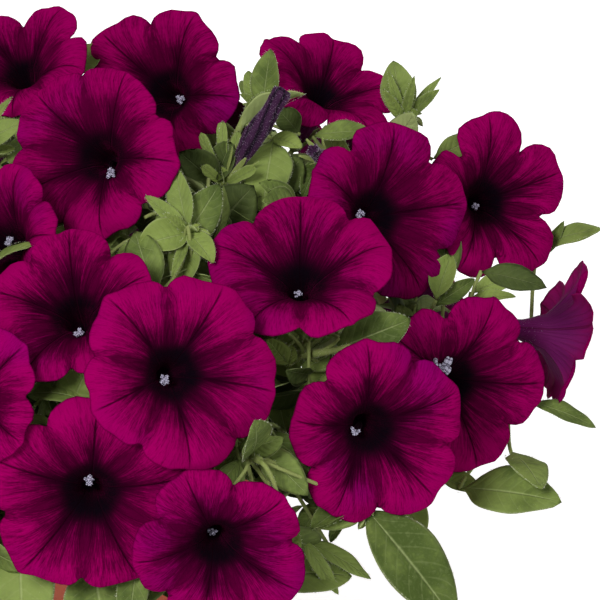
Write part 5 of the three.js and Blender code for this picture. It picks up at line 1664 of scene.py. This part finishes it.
class Clearance:
    """Where the blooms are, so that extra leaves stay behind and beside them"""

    def __init__(self):
        self.axes = [(bloom["radius"], middle_of(bloom), *bloom_axes(bloom)) for bloom in BLOOMS]
        buds = [(calyx_spot(bud), middle_of(bud)) for bud in BUDS]
        self.buds = [np.linspace(*ends, 8) for ends in buds]
        self.low, self.high = (np.array(corner) / MM for corner in CAD_BOX)
        self.taken = []

    def free(self, places):
        """Whether places are inside the dome and clear of the potting mix, the blooms and the buds"""
        if (places < self.low + BOX_ROOM).any() or (places > self.high - BOX_ROOM).any():
            return False
        over_dome = np.linalg.norm((places - UP * DOME_FOOT) / DOME_SIZE, axis=1)
        from_axis, height = np.hypot(places[:, 0], places[:, 1]), places[:, 2]
        in_soil = (height < SOIL_TOP + 3) & (from_axis < RIM_RADIUS + RIM_ROOM)
        if (over_dome > 1.05).any() or in_soil.any() or (height < LOWEST_ROOM).any():
            return False
        for radius, middle, right, up, out in self.axes:
            apart = places - middle
            height = apart @ out
            away = np.hypot(apart @ right, apart @ up)
            share = np.clip(away / radius, 0, 1)
            limb = -FUNNEL_DEPTH * ((1 - share) / (1 - FUNNEL_START)) ** FUNNEL_POWER
            by_limb = (away < radius * BESIDE_LIMB) & (height > limb - BEHIND_LIMB) & (height < BEFORE_LIMB)
            by_tube = (away < BESIDE_TUBE) & (height > -COROLLA_LENGTH - 4) & (height < 0)
            if (by_limb | by_tube).any():
                return False
        return all(closest(places, bud) > BUD_ROOM for bud in self.buds)

    def room_for(self, leaf):
        """Whether a leaf is clear of the blooms and of the leaves before it, which it then joins"""
        share, side = np.meshgrid(np.linspace(0.2, 1, 6), [-1, 0, 1])
        spots = leaf_place(leaf, np.array([0.55, 0.95]), 0, 0)
        if self.taken and closest(np.array(self.taken), spots) < LEAVES_APART:
            return False
        if not self.free(leaf_place(leaf, share.ravel(), side.ravel(), 0)):
            return False
        self.taken += list(spots)
        return True


def chance_leaf(draw, root, ahead, length, opening, spread):
    """A leaf that turns any way round its stem and opens by an angle, or by up to the spread more"""
    spin, opening = 360 * draw.random(), opening + spread * draw.random()
    width = length * (0.5 + 0.14 * draw.random())
    droop, fold = 0.3 + 0.6 * draw.random(), 0.1 + 0.3 * draw.random()
    return leaf_at(root, ahead, spin, opening, length, width, droop, fold)


def inner_leaves(parts, clearance, number, wanted):
    """More leaves along a stem and its stalks, in the room that the blooms leave inside the dome"""
    draw = np.random.default_rng(9000 + number)
    carriers = [stem_bend(parts["stem"])] * 3 + [curve for curve, _, _ in parts["stalks"]]
    made = []
    for _ in range(wanted * TRIES_A_LEAF):
        if len(made) == wanted:
            break
        curve = carriers[draw.integers(len(carriers))]
        along = 0.15 + 0.8 * draw.random()
        length = 17 + 17 * draw.random()
        leaf = chance_leaf(draw, curve.point(along), curve.tangent(along), length, 45, 40)
        if clearance.room_for(leaf):
            # Inner leaves are darkened with painted shade of a random depth
            made.append(leaf | {"deep": draw.random()})
    return made


def filling_shoots(clearance, wanted):
    """For each stem, more shoots with leaves darkened by painted shade wherever the blooms leave room
    inside the dome
    """
    draw = np.random.default_rng(4400)
    found = {stem["name"]: ([], []) for stem in STEMS}
    for i in range(wanted):
        height = mix(-0.12, 0.97, (i + 0.5) / wanted)
        direction = heading(GOLDEN_ANGLE * i + 40, degrees(asin(height)))
        for depth in (0.95, 0.87, 0.79, 0.7):
            place = in_dome(direction, depth)
            stem, start, ahead = nearest_stem(place)
            curve = twig_curve(start, ahead, place, STALK_SWINGS[draw.integers(8)])
            if not clearance.free(curve.spaced(10)[3:]):
                continue
            leaves = []
            for k in range(6):
                root = curve.at(1 - 0.07 * k)
                length = 17 + 12 * draw.random()
                leaf = chance_leaf(draw, root, curve.tangent(1), length, 25 + 12 * k, 15)
                if clearance.room_for(leaf):
                    leaves.append(leaf | {"deep": 0.8 * draw.random()})
            if len(leaves) > 1:
                found[stem["name"]][0].append(curve)
                found[stem["name"]][1].extend(leaves)
                break
    return found


def tip_leaves(place, ahead, seed):
    """The small folded leaves at the tip of a shoot"""
    draw = np.random.default_rng(seed)
    leaves = []
    for i in range(9):
        length = 3.2 + 0.75 * i + draw.random()
        leaves.append(leaf_at(
            place, ahead, GOLDEN_ANGLE * i + 30 * draw.random(), 12 + 6 * i + 8 * draw.random(), length,
            length * (0.42 + 0.12 * draw.random()), 0.5 + 0.5 * draw.random(), 0.5 + 0.3 * draw.random(),
        ) | {"tone": 0.0})
    return leaves


# Twigs with leaves darkened by painted shade, which fill the inside of the dome: where each twig ends,
# and for each of its leaves the tip, the width and, for some, how deep inside it counts, up to 1,
# which sets how dark its painted shade is
SHADED = [
    ((34, -17, 186), [((49, -17, 205), 21, 1), ((56, -10, 192), 15, 0.8)]),
    ((34, -2, 199), [((21, -4, 213), 15, 0.9), ((40, 8, 212), 11, 0.7)]),
    ((52, -1, 190), [((67, 10, 205), 17)]),
    ((54, -64, 123), [((67, -83, 109), 18), ((50, -84, 118), 14)]),
    ((52, -62, 116), [((61, -59, 137), 18)]),
    ((-33, -78, 105), [((-47, -94, 95), 18), ((-30, -96, 96), 14)]),
    ((12, -78, 106), [((11, -95, 98), 15)]),
    ((15, -96, 91), [((11, -117, 85), 14), ((22, -113, 83), 12)]),
    ((133, -28, 175), [((157, -36, 172), 11)]),
    ((122, 6, 154), [((120, 24, 175), 14)]),
    ((66, 18, 211), [((58, 27, 217), 10)]),
    ((-23, 66, 216), [((-12, 74, 225), 11, 0.1)]),
    ((50, -98, 139), [((69, -108, 124), 13, 0.1)]),
    ((91, -91, 111), [((70, -98, 106), 12, 0.2)]),
    ((74, -84, 109), [((66, -92, 99), 9, 0.4), ((65, -85, 119), 10, 0.9)]),
    ((47, -15, 185), [((54, -11, 198), 12)]),
    ((-22, -58, 143), [((-29, -69, 134), 13)]),
    ((66, -41, 155), [((55, -46, 151), 12)]),
]


def shaded_leaves():
    """For each stem, the twigs and leaves that fill the dome's inside"""
    found = {stem["name"]: ([], []) for stem in STEMS}
    for i, (end, leaves) in enumerate(SHADED):
        draw = np.random.default_rng(700 + i)
        end = np.array(end, float)
        stem, start, ahead = nearest_stem(end)
        twigs, shaded = found[stem["name"]]
        twigs.append(twig_curve(start, ahead, end, (0, 0)))
        for tip, width, *deep in leaves:
            leaf = leaf_between(end, np.array(tip, float), width, heading(0, 40),
                                0.4 + 0.4 * draw.random(), 0.12 + 0.2 * draw.random())
            # A leaf without a given depth gets painted shade of a random depth
            deep.append(0.3 + 0.7 * draw.random())
            shaded.append(leaf | {"deep": deep[0]})
    return found


def make_stem(parts, clearance, paints, values):
    """A stem with its flower stalks and calyces, its twigs and its leaves"""
    skin = Skin()
    stem = parts["stem"]
    number = int(stem["name"][-2:])
    draw = np.random.default_rng(5000 + number)
    longest, dense = values.hair_length / MM, values.hairs
    route = stem_route(stem)
    knobbly = 1 + 0.05 * np.sin(np.arange(41) * 1.3)
    add_rod(skin, route.spaced(40), np.linspace(1, 0.72, 41) * STEM_RADIUS * knobbly, 12, kind=1, young=0.0)
    add_stem_hairs(skin, route, STEM_RADIUS * 0.85, dense * 0.8, longest, draw, 0.18)
    for curve, flower, turn in parts["stalks"]:
        girths = np.interp(np.linspace(0, 1, 23), [0, 0.15, 0.85, 1], [1.15, 0.95, 0.9, 1.05])
        add_rod(skin, curve.spaced(22), girths * STALK_RADIUS, 9, kind=1, young=0.35)
        add_stem_hairs(skin, curve, STALK_RADIUS * 0.9, dense * 0.9, longest, draw)
        add_calyx(skin, flower, turn, longest * 0.8, draw)
    more_twigs, more_leaves = parts["shaded"]
    for curve in more_twigs:
        add_rod(skin, curve.spaced(9), np.full(10, TWIG_RADIUS * 0.9), 6, kind=1, young=0.0)
    for curve in parts["twigs"]:
        girths = np.interp(np.linspace(0, 1, 15), [0, 0.2, 1], [1.2, 1, 0.95])
        add_rod(skin, curve.spaced(14), girths * TWIG_RADIUS, 8, kind=1, young=0.3)
        add_stem_hairs(skin, curve, TWIG_RADIUS * 0.9, dense * 0.6, longest * 0.85, draw)
    leaves = parts["leaves"] + inner_leaves(parts, clearance, number, values.inner_leaves) + more_leaves
    for i, (place, ahead) in enumerate(parts["tips"]):
        leaves += tip_leaves(place, ahead, 300 * number + i)
    for i, leaf in enumerate(leaves):
        leaf_draw = add_leaf(skin, leaf, 100 * number + i)
        if "deep" not in leaf:
            add_leaf_hairs(skin, leaf, leaf_draw)
    skin.finish(stem["name"].replace("stem", "leafy_stem"), paints, "foliage", stem["name"])


# Operators

def turned_piece(name, profile, segments):
    """A closed shell of revolution from a profile of radius and height"""
    shape = bmesh.new()
    corners = [shape.verts.new((radius * MM, 0, height * MM)) for radius, height in profile]
    edges = [shape.edges.new(pair) for pair in zip(corners, corners[1:])]
    bmesh.ops.spin(shape, geom=corners + edges, cent=(0, 0, 0), axis=(0, 0, 1), angle=2 * pi,
                   steps=segments, use_merge=True)
    bmesh.ops.remove_doubles(shape, verts=shape.verts, dist=1e-6)
    bmesh.ops.recalc_face_normals(shape, faces=shape.faces)
    mesh = bpy.data.meshes.new(name)
    shape.to_mesh(mesh)
    shape.free()
    return put_in_scene(name, mesh)


def rounded(profile, radius):
    """A profile with its inner corners cut twice, so that edges look moulded"""
    made = [profile[0]]
    for before, corner, after in zip(profile, profile[1:], profile[2:]):
        before, corner, after = (np.array(p, float) for p in (before, corner, after))
        back = corner + unit(before - corner) * min(radius, np.linalg.norm(before - corner) / 2.5)
        on = corner + unit(after - corner) * min(radius, np.linalg.norm(after - corner) / 2.5)
        made += [tuple(back), tuple(corner * 0.5 + (back + on) * 0.25), tuple(on)]
    return made + [profile[-1]]


class PETUNIA_OT_pot(bpy.types.Operator):
    """Makes the plastic pot with its drain holes"""
    bl_idname = "petunia.pot"
    bl_label = "Pot"

    def execute(self, context):
        values = context.scene.petunia_pot
        band = POT_HEIGHT - BAND_HEIGHT
        profile = [
            (0, FOOT_RECESS), (FOOT_RADIUS - 5, FOOT_RECESS), (FOOT_RADIUS - 4, 0),
            (FOOT_RADIUS - FOOT_CHAMFER, 0), (FOOT_RADIUS, FOOT_CHAMFER),
            (SHOULDER_RADIUS, band - 2), (BAND_RADIUS, band),
            (BAND_RADIUS + 1, POT_HEIGHT - LIP_HEIGHT), (RIM_RADIUS, POT_HEIGHT - LIP_HEIGHT + 0.6),
            (RIM_RADIUS, POT_HEIGHT - 0.5), (RIM_RADIUS - 1, POT_HEIGHT), (INNER_RIM_RADIUS, POT_HEIGHT),
            (INNER_FOOT_RADIUS, FLOOR_THICKNESS), (0, FLOOR_THICKNESS),
        ]
        pot = turned_piece("nursery_pot", rounded(profile, POT_EDGE_ROUNDING), values.segments)
        cutter_mesh = bpy.data.meshes.new("drain_holes")
        shape = bmesh.new()
        for i in range(DRAIN_HOLES):
            x, y, _ = spot(i * 360 / DRAIN_HOLES, DRAIN_RING_RADIUS, 0) * MM
            made = bmesh.ops.create_cone(shape, cap_ends=True, segments=32, radius1=DRAIN_HOLE_RADIUS * MM,
                                         radius2=DRAIN_HOLE_RADIUS * MM, depth=12 * MM)
            bmesh.ops.translate(shape, verts=made["verts"], vec=(x, y, 0))
        shape.to_mesh(cutter_mesh)
        shape.free()
        cutter = put_in_scene("drain_holes", cutter_mesh)
        cut = pot.modifiers.new("Drain holes", "BOOLEAN")
        cut.operation, cut.object, cut.solver = "DIFFERENCE", cutter, "EXACT"
        whole = bpy.data.meshes.new_from_object(pot.evaluated_get(context.evaluated_depsgraph_get()))
        pot.modifiers.clear()
        pot.data = whole
        whole.name = "nursery_pot"
        bpy.data.objects.remove(cutter)
        whole.set_sharp_from_angle(angle=radians(50))
        whole.materials.clear()
        whole.materials.append(pot_paint(values))
        settle(pot, "pot", "pot")
        return {"FINISHED"}


class PETUNIA_OT_mix(bpy.types.Operator):
    """Makes the potting mix with its crumbs and white grains"""
    bl_idname = "petunia.mix"
    bl_label = "Potting mix"

    def execute(self, context):
        values = context.scene.petunia_mix
        skin = Skin()
        bottom, inside = FLOOR_THICKNESS + GAP, POT_HEIGHT - FLOOR_THICKNESS
        wall = lambda z: mix(INNER_FOOT_RADIUS, INNER_RIM_RADIUS, (z - FLOOR_THICKNESS) / inside) - GAP
        outline = [(0, bottom)] + [(wall(z), z) for z in (bottom, 20, 50, 80, SOIL_TOP - 2.4)]
        outline += [(wall(SOIL_TOP) - 1.5, SOIL_TOP - 0.6)]
        outline += [(radius, SOIL_TOP) for radius in (*np.linspace(wall(SOIL_TOP) - 3, 1.5, 30), 0)]
        rows = len(outline) - 1
        angle, share, quads, tris = ball(110, rows)
        radius, z = np.array(outline, float)[np.rint(share * rows).astype(int)].T
        x, y = radius * np.cos(angle), radius * np.sin(angle)
        on_top = z > SOIL_TOP - 1
        draw = np.random.default_rng(11)
        lumps = np.zeros(len(z))
        for scale in (0.09, 0.19, 0.4, 0.8, 1.5):
            a, b, c = draw.random(3) * 2 * pi
            lumps += np.sin(x * scale + 1.7 * np.sin(y * scale * 0.8 + a) + b) * np.cos(
                y * scale * 1.1 + np.sin(x * scale * 0.7) + c) * 0.9 / (scale * 6 + 1)
        z = z + on_top * (lumps + draw.normal(0, 0.12, len(z)))
        skin.add(np.stack([x, y, z], 1), quads, tris)
        for i in range(values.grains * 4):
            around, out = draw.random() * 360, 58 * draw.random() ** 0.5
            white = i < values.grains
            size = 0.7 + 1.3 * draw.random()
            place = spot(around, out, SOIL_TOP + 0.5 * size)
            ahead = unit(draw.normal(0, 1, 3))
            add_knob(skin, place, ahead, size * (0.6 + 0.5 * draw.random(3)), draw.random() * pi, 6, 5,
                     kind=int(white))
        skin.finish("peat_mix", [mix_paint(values), perlite_paint(values)], "potting_mix", "potting_mix")
        return {"FINISHED"}


class PETUNIA_OT_blooms(bpy.types.Operator):
    """Makes the open blooms"""
    bl_idname = "petunia.blooms"
    bl_label = "Open blooms"

    def execute(self, context):
        values = context.scene.petunia_petals
        paints = [petal_paint(values), underside_paint(values), anther_paint(values),
                  filament_paint(values), petal_hair_paint(values)]
        for bloom in BLOOMS:
            make_bloom(bloom, paints, values)
        return {"FINISHED"}


class PETUNIA_OT_buds(bpy.types.Operator):
    """Makes the closed and withered blooms"""
    bl_idname = "petunia.buds"
    bl_label = "Closed blooms"

    def execute(self, context):
        paints = [bud_paint(context.scene.petunia_buds), petal_hair_paint(context.scene.petunia_petals)]
        for bud in BUDS:
            make_bud(bud, paints)
        return {"FINISHED"}


class PETUNIA_OT_stems(bpy.types.Operator):
    """Makes the leafy stems with their stalks, calyces, twigs, leaves and hairs"""
    bl_idname = "petunia.stems"
    bl_label = "Leafy stems"

    def execute(self, context):
        values = context.scene.petunia_leaves
        hairs = hair_paint("Fine hairs", values.hair, values.young)
        paints = [leaf_paint(values), stem_paint(values), hairs]
        clearance, stems = Clearance(), stem_parts()
        for parts in stems.values():
            clearance.taken += [leaf_place(leaf, 0.55, 0, 0) for leaf in parts["leaves"]]
        shaded, filling = shaded_leaves(), filling_shoots(clearance, values.filling_shoots)
        for name, parts in stems.items():
            parts["shaded"] = [one + other for one, other in zip(shaded[name], filling[name])]
            make_stem(parts, clearance, paints, values)
        return {"FINISHED"}


class PETUNIA_OT_stage(bpy.types.Operator):
    """Makes the pale floor, the soft light and the camera"""
    bl_idname = "petunia.stage"
    bl_label = "Stage"

    def execute(self, context):
        values = context.scene.petunia_stage
        scene = context.scene
        shape = bmesh.new()
        bmesh.ops.create_circle(shape, cap_ends=True, segments=64, radius=FLOOR_RADIUS)
        mesh = bpy.data.meshes.new("floor")
        shape.to_mesh(mesh)
        shape.free()
        mesh.materials.append(stage_paint(values))
        floor = put_in_scene("floor", mesh)
        scene.world = soft_room()
        for name, place, size, strength in LAMPS:
            light = bpy.data.lights.new(name, "AREA")
            light.shape, light.size, light.energy = "DISK", size, values.light * strength
            lamp = put_in_scene(name, light)
            lamp.location = place
            aim = Vector(LAMPS_AIM) - Vector(place)
            lamp.rotation_euler = aim.to_track_quat("-Z", "Y").to_euler()
        scene.view_settings.view_transform = "Standard"
        camera = bpy.data.cameras.new("Camera")
        camera.lens = camera.sensor_width * PIXELS_PER_MM * CAMERA_DISTANCE / PICTURE_SIZE
        camera.clip_end = 100
        viewer = put_in_scene("Camera", camera)
        viewer.location = (CAMERA_TARGET + heading(0, CAMERA_TILT) * CAMERA_DISTANCE) * MM
        viewer.rotation_euler = (pi / 2 - radians(CAMERA_TILT), 0, 0)
        scene.camera = viewer
        return {"FINISHED"}


class PETUNIA_PT_panel(bpy.types.Panel):
    bl_label = "Potted petunia"
    bl_idname = "PETUNIA_PT_panel"
    bl_space_type = "VIEW_3D"
    bl_region_type = "UI"
    bl_category = "Petunia"

    def draw(self, context):
        for operator, name in STEPS:
            box = self.layout.box()
            values = getattr(context.scene, name)
            for key in values.__annotations__:
                box.prop(values, key)
            box.operator(operator.bl_idname)


GROUPS = {
    "petunia_pot": PetuniaPot, "petunia_mix": PetuniaMix, "petunia_petals": PetuniaPetals,
    "petunia_buds": PetuniaBuds, "petunia_leaves": PetuniaLeaves, "petunia_stage": PetuniaStage,
}
STEPS = [
    (PETUNIA_OT_pot, "petunia_pot"), (PETUNIA_OT_mix, "petunia_mix"), (PETUNIA_OT_blooms, "petunia_petals"),
    (PETUNIA_OT_buds, "petunia_buds"), (PETUNIA_OT_stems, "petunia_leaves"),
    (PETUNIA_OT_stage, "petunia_stage"),
]


def register():
    for name, group in GROUPS.items():
        bpy.utils.register_class(group)
        setattr(bpy.types.Scene, name, bpy.props.PointerProperty(type=group))
    for operator, _ in STEPS:
        bpy.utils.register_class(operator)
    bpy.utils.register_class(PETUNIA_PT_panel)


def unregister():
    bpy.utils.unregister_class(PETUNIA_PT_panel)
    for operator, _ in reversed(STEPS):
        bpy.utils.unregister_class(operator)
    for name, group in reversed(GROUPS.items()):
        delattr(bpy.types.Scene, name)
        bpy.utils.unregister_class(group)


def main():
    register()
    bpy.ops.petunia.pot()
    bpy.ops.petunia.mix()
    bpy.ops.petunia.blooms()
    bpy.ops.petunia.buds()
    bpy.ops.petunia.stems()
    bpy.ops.petunia.stage()


if __name__ == "__main__":
    main()
